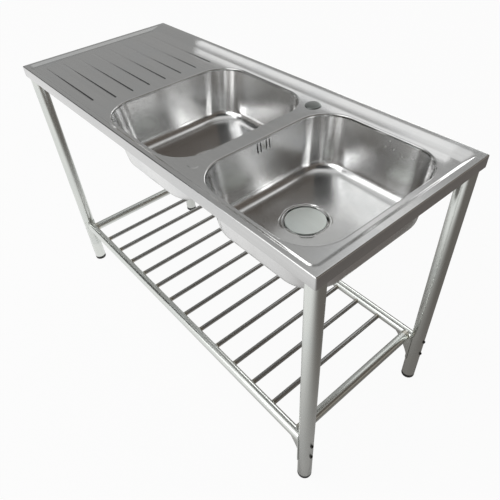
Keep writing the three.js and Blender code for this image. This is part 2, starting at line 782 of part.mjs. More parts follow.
const finish = (color, roughness, metalness) => () =>
  new THREE.MeshStandardMaterial({ color, roughness, metalness });
const brushedSteel = finish(0xb9bcbb, 0.36, 0.95);
const tubeSteel = finish(0xb2b5b2, 0.32, 0.95);
const polishedSteel = finish(0xc6cac9, 0.2, 1);
const springSteel = finish(0xc3c8c4, 0.42, 0.85);
const zincSteel = finish(0xa4a7a8, 0.5, 0.8);
const darkScrew = finish(0x35342f, 0.45, 0.7);
const smokedCap = finish(0x5f645f, 0.28, 0.6);
const blackPlastic = finish(0x1b1b1a, 0.55, 0);
const whitePlastic = finish(0xe2e3de, 0.5, 0);
const blackRubber = finish(0x202020, 0.85, 0);

const unit = new THREE.Group();

function place(name, geometry, material, x = 0, y = 0, z = 0, turn = 0) {
  const mesh = new THREE.Mesh(geometry, material());
  mesh.name = name;
  mesh.position.set(x, y, z);
  mesh.rotation.z = turn;
  unit.add(mesh);
}

function addTop() {
  place("sink_deck", deckGeometry(), brushedSteel);
  place("bowl_left", bowlGeometry(leftBowlX), brushedSteel);
  place("bowl_right", rightBowlGeometry(), brushedSteel);
  place("tap_hole_cap", tapCapGeometry(), smokedCap, tapHole.x, tapHole.y, fieldZ);
  for (const [name, side] of [["front", -1], ["back", 1]]) {
    const y = bowlY + grooveShift + side * 2 * groovePitch;
    place(`stiffener_${name}`, stiffenerGeometry(), zincSteel, 0, y);
  }
}

function addOverflow() {
  place("overflow_gasket", ontoOverflow(overflowRingGeometry()), blackRubber);
  place("overflow_box", ontoOverflow(overflowBoxGeometry()), whitePlastic);
  place("overflow_screw", ontoOverflow(overflowScrewGeometry()), polishedSteel);
}

function addWaste(side, bowlX) {
  const { x, y } = wastePlace(bowlX);
  place(`waste_cup_${side}`, wasteCupGeometry(), polishedSteel, x, y, floorZ);
  place(`waste_gasket_${side}`, wasteGasketGeometry(), blackRubber, x, y, floorZ);
  place(`waste_body_${side}`, wasteBodyGeometry(), whitePlastic, x, y, floorZ);
  place(`strainer_basket_${side}`, basketGeometry(), polishedSteel, x, y, floorZ);
  place(`drain_cover_${side}`, coverGeometry(), springSteel, x, y, floorZ);
}

function addCorner(depthName, sideY, lengthName, sideX) {
  const corner = `${depthName}_${lengthName}`;
  const x = sideX * legX;
  const y = sideY * legY;
  const turn = sideX > 0 ? 0 : Math.PI;
  place(`leg_${corner}`, legGeometry(), tubeSteel, x, y, 0, turn);
  place(`foot_${corner}`, footGeometry(), blackPlastic, x, y);
  place(`leg_socket_${corner}`, socketGeometry(sideX, sideY), zincSteel);
  place(`rack_bracket_${corner}`, bracketGeometry(), tubeSteel, x, y, 0, turn);
  ["upper", "lower"].forEach((level, i) =>
    place(`rack_screw_${corner}_${level}`, legScrewGeometry(), darkScrew, x, y, screwHeights[i], turn));
}

function addRack() {
  for (const [name, side] of [["front", -1], ["back", 1]]) {
    place(`rack_${name}_rail`, longRailGeometry(), tubeSteel, 0, side * legY, rackHeight);
  }
  for (const [name, side] of [["left", -1], ["right", 1]]) {
    const rail = crossTubeGeometry(railRadius, tubeWall, railSides);
    place(`rack_${name}_rail`, rail, tubeSteel, side * endRailX, 0, rackHeight);
  }
  const firstSlatX = -endRailX + slatMargin;
  const slatPitch = (-2 * firstSlatX) / (slatCount - 1);
  for (let i = 0; i < slatCount; i++) {
    const name = `rack_slat_${String(i + 1).padStart(2, "0")}`;
    const slat = crossTubeGeometry(slatRadius, slatWall, slatSides);
    place(name, slat, tubeSteel, firstSlatX + i * slatPitch, 0, rackHeight);
  }
}

addTop();
addOverflow();
addWaste("left", leftBowlX);
addWaste("right", rightBowlX);
for (const [depthName, sideY] of [["front", -1], ["back", 1]]) {
  for (const [lengthName, sideX] of [["left", -1], ["right", 1]]) {
    addCorner(depthName, sideY, lengthName, sideX);
  }
}
addRack();

export default unit;
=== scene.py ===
import math

import bmesh
import bpy
from bpy.props import FloatProperty, FloatVectorProperty, IntProperty, PointerProperty
from mathutils import Matrix, Vector
from mathutils.geometry import tessellate_polygon


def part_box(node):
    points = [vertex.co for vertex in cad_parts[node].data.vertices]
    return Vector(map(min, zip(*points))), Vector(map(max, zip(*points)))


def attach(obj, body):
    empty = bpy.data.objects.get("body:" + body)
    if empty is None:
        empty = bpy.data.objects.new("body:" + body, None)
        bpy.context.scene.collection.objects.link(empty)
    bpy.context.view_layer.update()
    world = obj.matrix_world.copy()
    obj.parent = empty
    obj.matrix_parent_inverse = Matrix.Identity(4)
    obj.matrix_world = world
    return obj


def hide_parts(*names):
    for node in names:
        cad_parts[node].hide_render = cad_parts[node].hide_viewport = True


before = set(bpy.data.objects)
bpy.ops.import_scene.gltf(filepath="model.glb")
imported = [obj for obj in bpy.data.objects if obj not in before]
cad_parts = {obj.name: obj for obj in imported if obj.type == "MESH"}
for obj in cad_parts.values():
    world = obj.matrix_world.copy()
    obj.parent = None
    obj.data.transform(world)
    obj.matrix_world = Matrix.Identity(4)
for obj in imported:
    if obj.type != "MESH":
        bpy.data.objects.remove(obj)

bl_info = {
    "name": "Kitchen Sink Unit",
    "version": (1, 0, 0),
    "blender": (4, 5, 0),
    "location": "3D View > Sidebar > Sink Unit",
    "description": "Dresses a free-standing sink unit with fine surfaces, finishes and a studio",
    "category": "Object",
}

MM = 0.001
TAU = 2 * math.pi
UP = Vector((0, 0, 1))
LEFT_RIGHT = ("left", "right")
CORNERS = [f"{depth}_{side}" for depth in ("front", "back") for side in LEFT_RIGHT]
SLATS = sorted(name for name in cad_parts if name.startswith("rack_slat_"))
SCREWS = sorted(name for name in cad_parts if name.startswith("rack_screw_"))
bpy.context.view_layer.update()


# ---------------------------------------------------------------- places read from the frame


def low(node):
    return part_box(node)[0]


def high(node):
    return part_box(node)[1]


def middle(node):
    return (low(node) + high(node)) / 2


def extent(node):
    """Foot, top and radius of an upright round node."""
    return low(node).z, high(node).z, (high(node).x - low(node).x) / 2


TOP_LOW, TOP_HIGH = low("sink_deck"), high("sink_deck")
WASTE = {side: middle(f"waste_cup_{side}") for side in LEFT_RIGHT}
BOWL = {side: middle(f"bowl_{side}") for side in LEFT_RIGHT}
LEG = {corner: middle(f"leg_{corner}") for corner in CORNERS}
RAIL_Y = high("rack_back_rail").y - (high("rack_back_rail").z - low("rack_back_rail").z) / 2
RACK_Z = middle("rack_back_rail").z


# ---------------------------------------------------------------- sizes and colours


def length(name, description, millimetres):
    """Length property with its default in millimetres."""
    return FloatProperty(
        name=name, description=description, default=millimetres * MM, min=0, precision=4,
        subtype="DISTANCE", unit="LENGTH",
    )


def turn(name, description, degrees):
    """Angle property with its default in degrees."""
    return FloatProperty(
        name=name, description=description, default=math.radians(degrees), subtype="ANGLE",
        unit="ROTATION",
    )


def count(name, description, default):
    return IntProperty(name=name, description=description, default=default, min=1)


def colour(name, description, rgb):
    return FloatVectorProperty(
        name=name, description=description, default=rgb, size=3, min=0, max=1, subtype="COLOR",
    )


def share(name, description, default, most=1.0):
    return FloatProperty(
        name=name, description=description, default=default, min=0, max=most, subtype="FACTOR",
    )


class SinkTopSizes(bpy.types.PropertyGroup):
    """Sizes of the pressed top"""

    sheet: length("Sheet", "Thickness of the pressed steel", 1)
    corner: length("Skirt Corner", "Upright corner radius of the skirt", 4)
    bend: length("Rim Bend", "Radius between the rim and the skirt", 3)
    hem: length("Hem Radius", "Outer radius of the rolled lower edge", 1.3)
    hem_height: length("Hem Height", "How far the lower edge is turned back up", 8)
    recess: length("Recess", "Depth of the field under the rim", 6)
    rim_left: length("Left Rim", "Width of the left rim", 12)
    rim_right: length("Right Rim", "Width of the right rim", 15)
    rim_front: length("Front Rim", "Width of the front rim", 10)
    rim_back: length("Back Rim", "Width of the back rim", 10)
    slope_left: length("Left Slope", "Width of the slope inside the left rim", 10)
    slope_right: length("Right Slope", "Width of the slope inside the right rim", 11)
    slope_front: length("Front Slope", "Width of the slope inside the front rim", 12)
    slope_back: length("Back Ledge", "Width of the long slope inside the back rim", 50)
    rim_corner: length("Rim Corner", "Corner radius of the slope's upper edge", 18)
    recess_corner: length("Recess Corner", "Corner radius of the slope's lower edge", 12)
    groove_count: count("Grooves", "Number of drainer grooves", 8)
    groove_pitch: length("Groove Pitch", "Distance between grooves", 51.5)
    groove_width: length("Groove Width", "Width of a drainer groove", 9)
    groove_shallow: length("Shallow End", "Groove depth at the outer end", 0.8)
    groove_deep: length("Deep End", "Groove depth at the bowl end", 2.5)
    groove_outer: length("Outer Margin", "From the top's left edge to the grooves", 59)
    groove_inner: length("Bowl Margin", "From the left opening to the grooves", 39)
    groove_short: length("Front Groove Short", "How much shorter the front groove is", 28)
    groove_back: length("Groove Middle", "How far the grooves' middle lies before the bowls'", 3.5)
    oval_length: length("Oval Length", "Length of the pressed oval", 30)
    oval_width: length("Oval Width", "Width of the pressed oval", 22)
    oval_rise: length("Oval Rise", "Height of the pressed oval", 0.5)
    oval_back: length("Oval Setback", "From the front edge to the oval's middle", 55)
    tap_hole: length("Tap Hole", "Radius of the tap hole", 17.5)


class SinkBowlSizes(bpy.types.PropertyGroup):
    """Sizes of the two bowls and their openings"""

    long: length("Length", "Length of a bowl's opening", 345)
    wide: length("Width", "Front-to-back size of a bowl's opening", 407)
    corner: length("Corner", "Corner radius of the opening", 85)
    lip: length("Lip Radius", "Radius of the top's edge turned into the bowl", 3)
    lip_height: length("Lip Height", "How far that edge reaches down", 7)
    sheet: length("Sheet", "Thickness of the bowl's steel", 1)
    flange: length("Flange", "Width of the flange under the top", 10)
    setback: length("Setback", "From the opening's line out to the bowl's wall", 1.6)
    bend: length("Flange Bend", "Radius between the flange and the wall", 3.2)
    draft: turn("End Draft", "Slope of the two end walls", 5.5)
    side_draft: turn("Side Draft", "Slope of the front and back walls", 9.5)
    fillet: length("Fillet", "Radius between the walls and the floor", 28)
    grow: length("Corner Growth", "How much the corner radius grows towards the floor", 4)
    fall: length("Floor Fall", "Fall of the floor towards the waste", 2.5)
    depth: length("Depth", "From the field down to the floor beside the waste", 143)
    seat: length("Waste Seat", "Radius of the pressed ring around the waste", 59)
    seat_depth: length("Seat Depth", "Depth of that ring", 2)
    hole: length("Waste Hole", "Radius of the hole for the waste", 53.6)
    slot_drop: length("Overflow Drop", "From the field to the overflow slots' middle", 21.5)
    slot_width: length("Slot Width", "Width of an overflow slot", 3.5)
    slot_height: length("Slot Height", "Height of an overflow slot", 23)
    slot_inner: length("Inner Slots", "From the screw to the inner slots", 8.5)
    slot_outer: length("Outer Slots", "From the screw to the outer slots", 18)


class SinkWasteSizes(bpy.types.PropertyGroup):
    """Sizes of the wastes, strainers and covers"""

    bore: length("Bore", "Radius of the cup's wide mouth", 52.5)
    sheet: length("Sheet", "Thickness of the cup and strainer", 0.8)
    inner: length("Cup", "Inner radius of the cup under its ledge", 48.5)
    ledge: length("Ledge", "Drop from the flange's seat to the ledge", 8)
    outlet: length("Outlet", "Radius of the hole in the cup's floor", 30)
    wall: length("Body Wall", "Thickness of the plastic body under the bowl", 3)
    spigot: length("Spigot", "Outer radius of the outlet spigot", 20)
    cover: length("Cover", "Radius of the cover disc", 47)
    taper: length("Strainer Taper", "How much the strainer narrows downwards", 5)
    knob: length("Knob", "Radius of the strainer's knob", 5)
    knob_height: length("Knob Height", "Height of the strainer's knob", 16)
    perforation: length("Perforation", "Radius of the strainer's holes", 1.5)


class SinkStandSizes(bpy.types.PropertyGroup):
    """Sizes of the legs, the rack and their fixings"""

    leg: length("Leg Radius", "Outer radius of a leg", 19)
    leg_wall: length("Leg Wall", "Wall of a leg tube", 1.2)
    rail: length("Rail Radius", "Outer radius of a rack rail", 14)
    slat: length("Slat Radius", "Outer radius of a rack slat", 7)
    seat: length("Running Gap", "Gap where one piece seats on another", 0.3)
    saddle: length("Saddle Sheet", "Thickness of the saddle plates", 1.8)
    saddle_half: turn("Saddle Reach", "Half of the arc that a saddle covers", 62)
    gusset: length("Gusset Length", "Reach of a gusset under the rail", 54)
    gusset_toe: length("Gusset Toe", "Height of the gusset's thin end", 5)
    gusset_sheet: length("Gusset Sheet", "Thickness of a gusset", 2.5)
    screw_head: length("Screw Head", "Radius of a leg screw's head", 4.5)
    screw_rise: length("Screw Head Height", "Height of a leg screw's head", 3.6)
    bead: length("Weld Bead", "Radius of one ripple of a weld", 1.5)


class SinkFinishes(bpy.types.PropertyGroup):
    """Colours and roughness of the finishes"""

    sheet_steel: colour("Sheet Steel", "Colour of the pressed top", (0.60, 0.60, 0.595))
    bowl_steel: colour("Bowl Steel", "Colour of the satin bowls", (0.76, 0.76, 0.755))
    tube_steel: colour("Tube Steel", "Colour of the legs and the rails", (0.70, 0.72, 0.69))
    slat_steel: colour("Slat Steel", "Colour of the thin slats", (0.40, 0.40, 0.39))
    polished: colour("Polished Steel", "Colour of the wastes and strainers", (0.72, 0.72, 0.71))
    cover: colour("Cover Steel", "Colour of the waste covers", (0.87, 0.91, 0.88))
    zinc: colour("Zinc", "Colour of the zinc-plated sockets", (0.50, 0.51, 0.52))
    screw: colour("Screw", "Colour of the dark screws", (0.045, 0.042, 0.038))
    cap: colour("Tap Hole Cap", "Colour of the tap hole's cap", (0.20, 0.21, 0.20))
    foot: colour("Foot", "Colour of the foot caps", (0.018, 0.018, 0.018))
    plastic: colour("Waste Plastic", "Colour of the plastic bodies", (0.42, 0.43, 0.43))
    rubber: colour("Rubber", "Colour of the gaskets", (0.03, 0.03, 0.03))
    heat: colour("Weld Heat", "Tint beside the welds", (0.42, 0.36, 0.25))
    sheet_rough: share("Top Roughness", "Roughness of the pressed top", 0.14)
    bowl_rough: share("Bowl Roughness", "Roughness of the bowls", 0.17)
    tube_rough: share("Tube Roughness", "Roughness of the tubes", 0.20)


class SinkStudio(bpy.types.PropertyGroup):
    """Camera and light"""

    lens: FloatProperty(name="Lens", description="Focal length on a 36 mm sensor", default=34.73,
                        min=1, unit="CAMERA")
    distance_x: length("Camera X", "Camera's place along the unit", 940.25)
    distance_y: length("Camera Y", "How far the camera stands before the unit's middle", 638.95)
    distance_z: length("Camera Height", "Camera's height over the floor", 1320.05)
    azimuth: turn("Azimuth", "Direction that the camera stands in", 52.161)
    elevation: turn("Elevation", "How steeply the camera looks down", 42.826)
    roll: turn("Roll", "Tilt of the camera about its view", -4.013)
    floor: colour("Floor", "Colour of the studio floor", (0.9, 0.9, 0.9))
    shade: colour("Far Side", "What metal mirrors on the far right", (0.15, 0.135, 0.125))
    sky_low: colour("Low Sky", "Light from just over the horizon at the back left",
                    (0.31, 0.31, 0.305))
    sky_high: colour("High Sky", "Light from above", (0.66, 0.665, 0.66))
    sky_left: colour("Left Sky", "Light from the far left", (0.40, 0.40, 0.395))
    sky_far: colour("Far Sky", "Light from high on the far right", (0.12, 0.103, 0.09))
    sky_warm: colour("Warm Sky", "Light from low on the far right", (0.34, 0.31, 0.275))
    sky_near: colour("Near Sky", "Light from the near left side", (1.0, 1.0, 1.0))
    key: share("Key", "Radiance of the large soft box", 1.15, 50)
    flag: share("Flag", "Radiance of the dark card over the camera", 0.04, 50)
    front: share("Front Card", "Radiance of the card that the bowls' back walls mirror", 3.8, 50)
    side: share("Side Card", "Radiance of the dark card that the right bowl mirrors", 0.04, 50)
    low: share("Low Card", "Radiance of the card behind that the left bowl mirrors", 3.0, 50)
    strip: share("Strip", "Radiance of the thin card over the back ledge", 1.2, 50)
    window: share("Window", "Radiance of the card high over the back", 1.0, 50)


# ---------------------------------------------------------------- outlines

# Steps round a corner of the openings and of the rim, and along a bend.
OPENING_STEPS, RIM_STEPS, BEND_STEPS = 24, 12, 8
TURNED_SIDES, TUBE_SIDES = 96, 64


def circle(steps, start=0.0):
    """Cosine and sine at equal steps round a full turn."""
    angles = [start + TAU * k / steps for k in range(steps)]
    return [(math.cos(angle), math.sin(angle)) for angle in angles]


def quarter(steps=BEND_STEPS):
    """Shares of a bend's radius, from its flat end (0, 1) to its upright end (1, 0)."""
    angles = [math.pi / 2 * step / steps for step in range(steps + 1)]
    return [(1 - math.cos(angle), 1 - math.sin(angle)) for angle in angles]


def rounded_rectangle(x0, x1, y0, y1, radius, z, steps, stops=()):
    """Outline, counter-clockwise from the front right; stops are more places on the left edge."""
    corners = [
        (x1 - radius, y0 + radius, -90), (x1 - radius, y1 - radius, 0),
        (x0 + radius, y1 - radius, 90), (x0 + radius, y0 + radius, 180),
    ]
    points = []
    for x, y, start in corners:
        for step in range(steps + 1):
            angle = math.radians(start + 90 * step / steps)
            points.append(Vector((x + radius * math.cos(angle), y + radius * math.sin(angle), z)))
        if start == 90:
            points.extend(Vector((x0, stop, z)) for stop in sorted(stops, reverse=True))
    return points


def ellipse(x, y, radius_x, radius_y, z, steps):
    return [Vector((x + radius_x * a, y + radius_y * b, z)) for a, b in circle(steps)]


def stadium(x0, x1, y, radius, depth_at, z, steps, bays):
    """Long outline with round ends whose points sink by depth_at(x)."""
    spots = []
    for end, far, side, start in ((x1, x0, radius, -90), (x0, x1, -radius, 90)):
        for step in range(steps + 1):
            angle = math.radians(start + 180 * step / steps)
            spots.append((end + radius * math.cos(angle), y + radius * math.sin(angle)))
        spots.extend((end + (far - end) * bay / bays, y + side) for bay in range(1, bays))
    return [Vector((px, py, z - depth_at(px))) for px, py in spots]


def curve(start, pull, stop, steps):
    """Points of a curve from start to stop that bends towards pull."""
    shares = [step / steps for step in range(steps + 1)]
    return [start * (1 - t) ** 2 + pull * (2 * t * (1 - t)) + stop * t**2 for t in shares]


def soften(corners, steps=4):
    """Closed outline from (a, b, radius) corners, each eased by a short curve."""
    points = []
    for k, (a, b, radius) in enumerate(corners):
        here = Vector((a, b))
        if not radius:
            points.append(here)
            continue
        ends = [Vector(corners[place][:2]) - here for place in (k - 1, (k + 1) % len(corners))]
        start, stop = (here + way.normalized() * min(radius, way.length / 2) for way in ends)
        points += curve(start, here, stop, steps)
    return points


def eased(t, blend=0.22):
    """Share of a slope's drop at share t of its width, with both bends rounded."""
    slope = 1 / (1 - blend)
    if t < blend:
        return slope * t * t / (2 * blend)
    if t > 1 - blend:
        return 1 - slope * (1 - t) ** 2 / (2 * blend)
    return slope * (t - blend / 2)


# ---------------------------------------------------------------- meshes


class Skin:
    """Points and faces of one sheet, laid ring by ring from its outer edge inwards."""

    def __init__(self):
        self.points = []
        self.faces = []

    def ring(self, points):
        start = len(self.points)
        self.points.extend(points)
        return list(range(start, len(self.points)))

    def band(self, outer, inner, leave_out=None):
        total = len(outer)
        for k in range(total):
            after = (k + 1) % total
            if k != leave_out:
                self.faces.append((outer[k], outer[after], inner[after], inner[k]))

    def bands(self, rings):
        for outer, inner in zip(rings, rings[1:]):
            self.band(outer, inner)

    def sheet(self, outlines):
        """Lays outlines as joined rings; returns the rings."""
        rings = [self.ring(points) for points in outlines]
        self.bands(rings)
        return rings

    def fill(self, loop, holes=(), facing=UP):
        """Flat face inside one loop and round its holes, turned towards facing."""
        loops = [loop, *holes]
        flat = facing.to_track_quat("Z", "Y").to_matrix().transposed()
        polygons = [[flat @ self.points[k] for k in each] for each in loops]
        names = [k for each in loops for k in each]
        for a, b, c in tessellate_polygon(polygons):
            a, b, c = names[a], names[b], names[c]
            normal = (self.points[b] - self.points[a]).cross(self.points[c] - self.points[a])
            self.faces.append((a, b, c) if normal.dot(facing) > 0 else (a, c, b))

    def mesh(self, name):
        mesh = bpy.data.meshes.new(name)
        mesh.from_pydata(self.points, [], self.faces)
        mesh.validate()
        return mesh


def join_rings(solid, rings, closed=False):
    """Faces between neighbouring rings; a ring of one point is a pole."""
    for first, second in zip(rings, rings[1:] + rings[:1] if closed else rings[1:]):
        sides = max(len(first), len(second))
        if sides == 1:
            continue
        for k in range(sides):
            after = (k + 1) % sides
            corners = [
                first[k % len(first)], first[after % len(first)],
                second[after % len(second)], second[k % len(second)],
            ]
            solid.faces.new(list(dict.fromkeys(corners)))


def lathe(profile, centre=Vector((0, 0, 0)), sides=TURNED_SIDES):
    """Body turned about an upright axis from a closed half-profile of (radius, height)."""
    solid = bmesh.new()
    rings = []
    for radius, height in profile:
        spots = circle(sides)[:sides if radius > 1e-6 else 1]
        rings.append([
            solid.verts.new(centre + Vector((radius * a, radius * b, height))) for a, b in spots
        ])
    join_rings(solid, rings, closed=True)
    return solid


def coped_tube(centre, along, radius, wall, reach):
    """Tube whose reach(side, up) says how far both ends run at that place of its section."""
    solid = bmesh.new()
    across = along.cross(UP)
    rings = []
    for size, ends in ((radius, (-1, 1)), (radius - wall, (1, -1))):
        for end in ends:
            rings.append([
                solid.verts.new(centre + across * (size * a) + UP * (size * b)
                                + along * (end * reach(size * a, size * b)))
                for a, b in circle(TUBE_SIDES)
            ])
    join_rings(solid, rings, closed=True)
    return solid


def prism(solid, outline, depth, place):
    """Adds a plate from outline points (a, b), put in place by place(a, b, c)."""
    rings = [
        [solid.verts.new(place(a, b, side * depth / 2)) for a, b in outline] for side in (-1, 1)
    ]
    join_rings(solid, rings)
    for ring in rings:
        solid.faces.new(ring)


def new_object(name, data):
    made = bpy.data.objects.new(name, data)
    bpy.context.scene.collection.objects.link(made)
    return made


def solid_object(name, solid):
    """Object of a closed bmesh with its faces turned outwards."""
    bmesh.ops.recalc_face_normals(solid, faces=solid.faces)
    mesh = bpy.data.meshes.new(name)
    solid.to_mesh(mesh)
    solid.free()
    return new_object(name, mesh)


def settle(piece, crease=35):
    """Turns what the modifiers make into a plain mesh, smooth but for its sharp edges."""
    bpy.context.view_layer.update()
    seen = piece.evaluated_get(bpy.context.evaluated_depsgraph_get())
    mesh = bpy.data.meshes.new_from_object(seen)
    mesh.name = piece.name
    old = piece.data
    piece.modifiers.clear()
    piece.data = mesh
    if old.users == 0:
        bpy.data.meshes.remove(old)
    mesh.polygons.foreach_set("use_smooth", [True] * len(mesh.polygons))
    mesh.set_sharp_from_angle(angle=math.radians(crease))


def dress(piece, surface, body, nodes, crease=35):
    """Finishes a piece: plain mesh, material, and its place on the frame."""
    settle(piece, crease)
    piece.data.materials.clear()
    piece.data.materials.append(bpy.data.materials[surface])
    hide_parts(*nodes)
    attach(piece, body)


def thicken(piece, sheet, even=True):
    """Gives a sheet its thickness under its good side."""
    solidify = piece.modifiers.new("Sheet", "SOLIDIFY")
    solidify.thickness = sheet
    solidify.offset = -1
    solidify.use_even_offset = even
    solidify.use_quality_normals = True


def soften_edges(piece, width):
    bevel = piece.modifiers.new("Edges", "BEVEL")
    bevel.width = width
    bevel.segments = 2
    bevel.limit_method = "ANGLE"
    bevel.angle_limit = math.radians(40)
    bevel.use_clamp_overlap = True


def turned_piece(name, corners, centre, surface, body, node, steps=4):
    """One lathe-turned piece in place of its node."""
    profile = [tuple(point) for point in soften(corners, steps)]
    piece = solid_object(name, lathe(profile, Vector((centre.x, centre.y, 0))))
    dress(piece, surface, body, [node])


# ---------------------------------------------------------------- nodes


def feed(tree, socket, value):
    """Links a socket to another node's output, or sets its value."""
    if isinstance(value, bpy.types.NodeSocket):
        tree.links.new(value, socket)
    else:
        socket.default_value = value


def add(tree, kind, inputs=None, **settings):
    """New node with its settings and with its inputs, which are named or numbered."""
    node = tree.nodes.new(kind)
    for name, value in settings.items():
        setattr(node, name, value)
    for label, value in (inputs or {}).items():
        feed(tree, node.inputs[label], value)
    return node


def maths(tree, operation, *values, clamp=False):
    inputs = dict(enumerate(values))
    return add(tree, "ShaderNodeMath", inputs, operation=operation, use_clamp=clamp).outputs[0]


def combined(tree, x=0, y=0, z=0):
    return add(tree, "ShaderNodeCombineXYZ", {"X": x, "Y": y, "Z": z}).outputs[0]


def split(tree, vector):
    return add(tree, "ShaderNodeSeparateXYZ", {0: vector}).outputs


def mixed(tree, factor, first, second, blend="MIX"):
    """Blend of two colours, each an output or three numbers."""
    inputs = {0: factor}
    for label, value in ((6, first), (7, second)):
        inputs[label] = value if isinstance(value, bpy.types.NodeSocket) else (*value, 1)
    return add(tree, "ShaderNodeMix", inputs, data_type="RGBA", blend_type=blend).outputs[2]


def noise(tree, vector, scale, detail, rough=0.5):
    inputs = {"Vector": vector, "Scale": scale, "Detail": detail, "Roughness": rough}
    return add(tree, "ShaderNodeTexNoise", inputs).outputs["Fac"]


def range_of(tree, value, low_in, high_in, low_out=0.0, high_out=1.0):
    inputs = {"Value": value, "From Min": low_in, "From Max": high_in, "To Min": low_out,
              "To Max": high_out}
    node = add(tree, "ShaderNodeMapRange", inputs, interpolation_type="SMOOTHSTEP")
    return node.outputs["Result"]


# ---------------------------------------------------------------- materials

# How far each mark changes a finish's colour and its roughness.
SMEAR_TINT, SPOT_TINT = 0.6, 0.06
SMEAR_ROUGH, LINE_ROUGH, SPOT_ROUGH = 0.06, 0.08, 0.05
SPOT_COLOUR = (0.8, 0.8, 0.79)
SCUFF_TINT, SCUFF_ROUGH = 0.5, 0.2
HEAT_TINT, HEAT_WIDTH = 0.45, 12 * MM
# Turns that lay a finish's lines along Z and along Y.
UPRIGHT, ACROSS = (0, math.pi / 2, 0), (0, 0, math.pi / 2)


def new_group(name, inputs, outputs):
    """Shader group of vectors (given as None) and numbers; returns it with both its ends."""
    tree = bpy.data.node_groups.new(name, "ShaderNodeTree")
    for label, default in inputs.items():
        kind = "NodeSocketVector" if default is None else "NodeSocketFloat"
        socket = tree.interface.new_socket(name=label, in_out="INPUT", socket_type=kind)
        if default is not None:
            socket.default_value = default
    for label in outputs:
        tree.interface.new_socket(name=label, in_out="OUTPUT", socket_type="NodeSocketFloat")
    return tree, add(tree, "NodeGroupInput").outputs, add(tree, "NodeGroupOutput").inputs


def drawn_grain():
    """Fine lines that drawing, rolling or brushing leaves in steel, along the vector's X."""
    inputs = {"Vector": None, "Lines per Metre": 900.0, "Stretch": 0.02}
    tree, given, made = new_group("Drawn Grain", inputs, ("Line", "Sweep"))
    lines = given["Lines per Metre"]
    drawn_out = {0: given["Vector"], 1: combined(tree, given["Stretch"], 1, 1)}
    place = add(tree, "ShaderNodeVectorMath", drawn_out, operation="MULTIPLY").outputs[0]
    feed(tree, made["Line"], noise(tree, place, lines, 3, 0.6))
    feed(tree, made["Sweep"], noise(tree, place, maths(tree, "MULTIPLY", lines, 0.08), 2))


def handling_marks():
    """Soft cloudy smears and small dry water spots."""
    inputs = {"Vector": None, "Cloud Scale": 9.0, "Spot Scale": 70.0}
    tree, given, made = new_group("Handling Marks", inputs, ("Smear", "Spot"))
    place = given["Vector"]
    cloud = noise(tree, place, given["Cloud Scale"], 4, 0.55)
    feed(tree, made["Smear"], range_of(tree, cloud, 0.42, 0.68))
    cells = add(tree, "ShaderNodeTexVoronoi", {"Vector": place, "Scale": given["Spot Scale"]})
    dots = range_of(tree, cells.outputs["Distance"], 0.10, 0.18, 1.0, 0.0)
    where = range_of(tree, noise(tree, place, 6.0, 2), 0.52, 0.66)
    feed(tree, made["Spot"], maths(tree, "MULTIPLY", dots, where))


def moulded_skin():
    """Fine pebbling and larger scuffs of moulded plastic and rubber."""
    inputs = {"Vector": None, "Scale": 1400.0}
    tree, given, made = new_group("Moulded Skin", inputs, ("Pebble", "Scuff"))
    feed(tree, made["Pebble"], noise(tree, given["Vector"], given["Scale"], 2))
    scuff = noise(tree, given["Vector"], 38.0, 4, 0.65)
    feed(tree, made["Scuff"], range_of(tree, scuff, 0.5, 0.75))


def weld_heat():
    """Tint that fades with the distance from a weld."""
    tree, given, made = new_group("Weld Heat", {"Distance": 1.0, "Width": HEAT_WIDTH}, ("Tint",))
    ratio = maths(tree, "DIVIDE", given["Distance"], given["Width"])
    feed(tree, made["Tint"], range_of(tree, ratio, 0.2, 1.0, 1.0, 0.0))


def placed(tree, group, **values):
    """Outputs of a shader group whose inputs are set by name."""
    inputs = {label.replace("_", " "): value for label, value in values.items()}
    return add(tree, "ShaderNodeGroup", inputs, node_tree=bpy.data.node_groups[group]).outputs


def own_place(tree):
    return add(tree, "ShaderNodeTexCoord").outputs["Object"]


def new_material(name, metallic, roughness, turned=(0, 0, 0)):
    """Material; returns its tree, its shader's inputs and the piece's coordinates, turned."""
    material = bpy.data.materials.new(name)
    material.use_nodes = True
    tree = material.node_tree
    shader = tree.nodes["Principled BSDF"].inputs
    feed(tree, shader["Metallic"], metallic)
    feed(tree, shader["Roughness"], roughness)
    mapping = add(tree, "ShaderNodeMapping", {"Vector": own_place(tree), "Rotation": turned})
    return tree, shader, mapping.outputs["Vector"]


def bump(tree, shader, height, strength, distance):
    inputs = {"Strength": strength, "Distance": distance, "Height": height}
    feed(tree, shader["Normal"], add(tree, "ShaderNodeBump", inputs).outputs["Normal"])


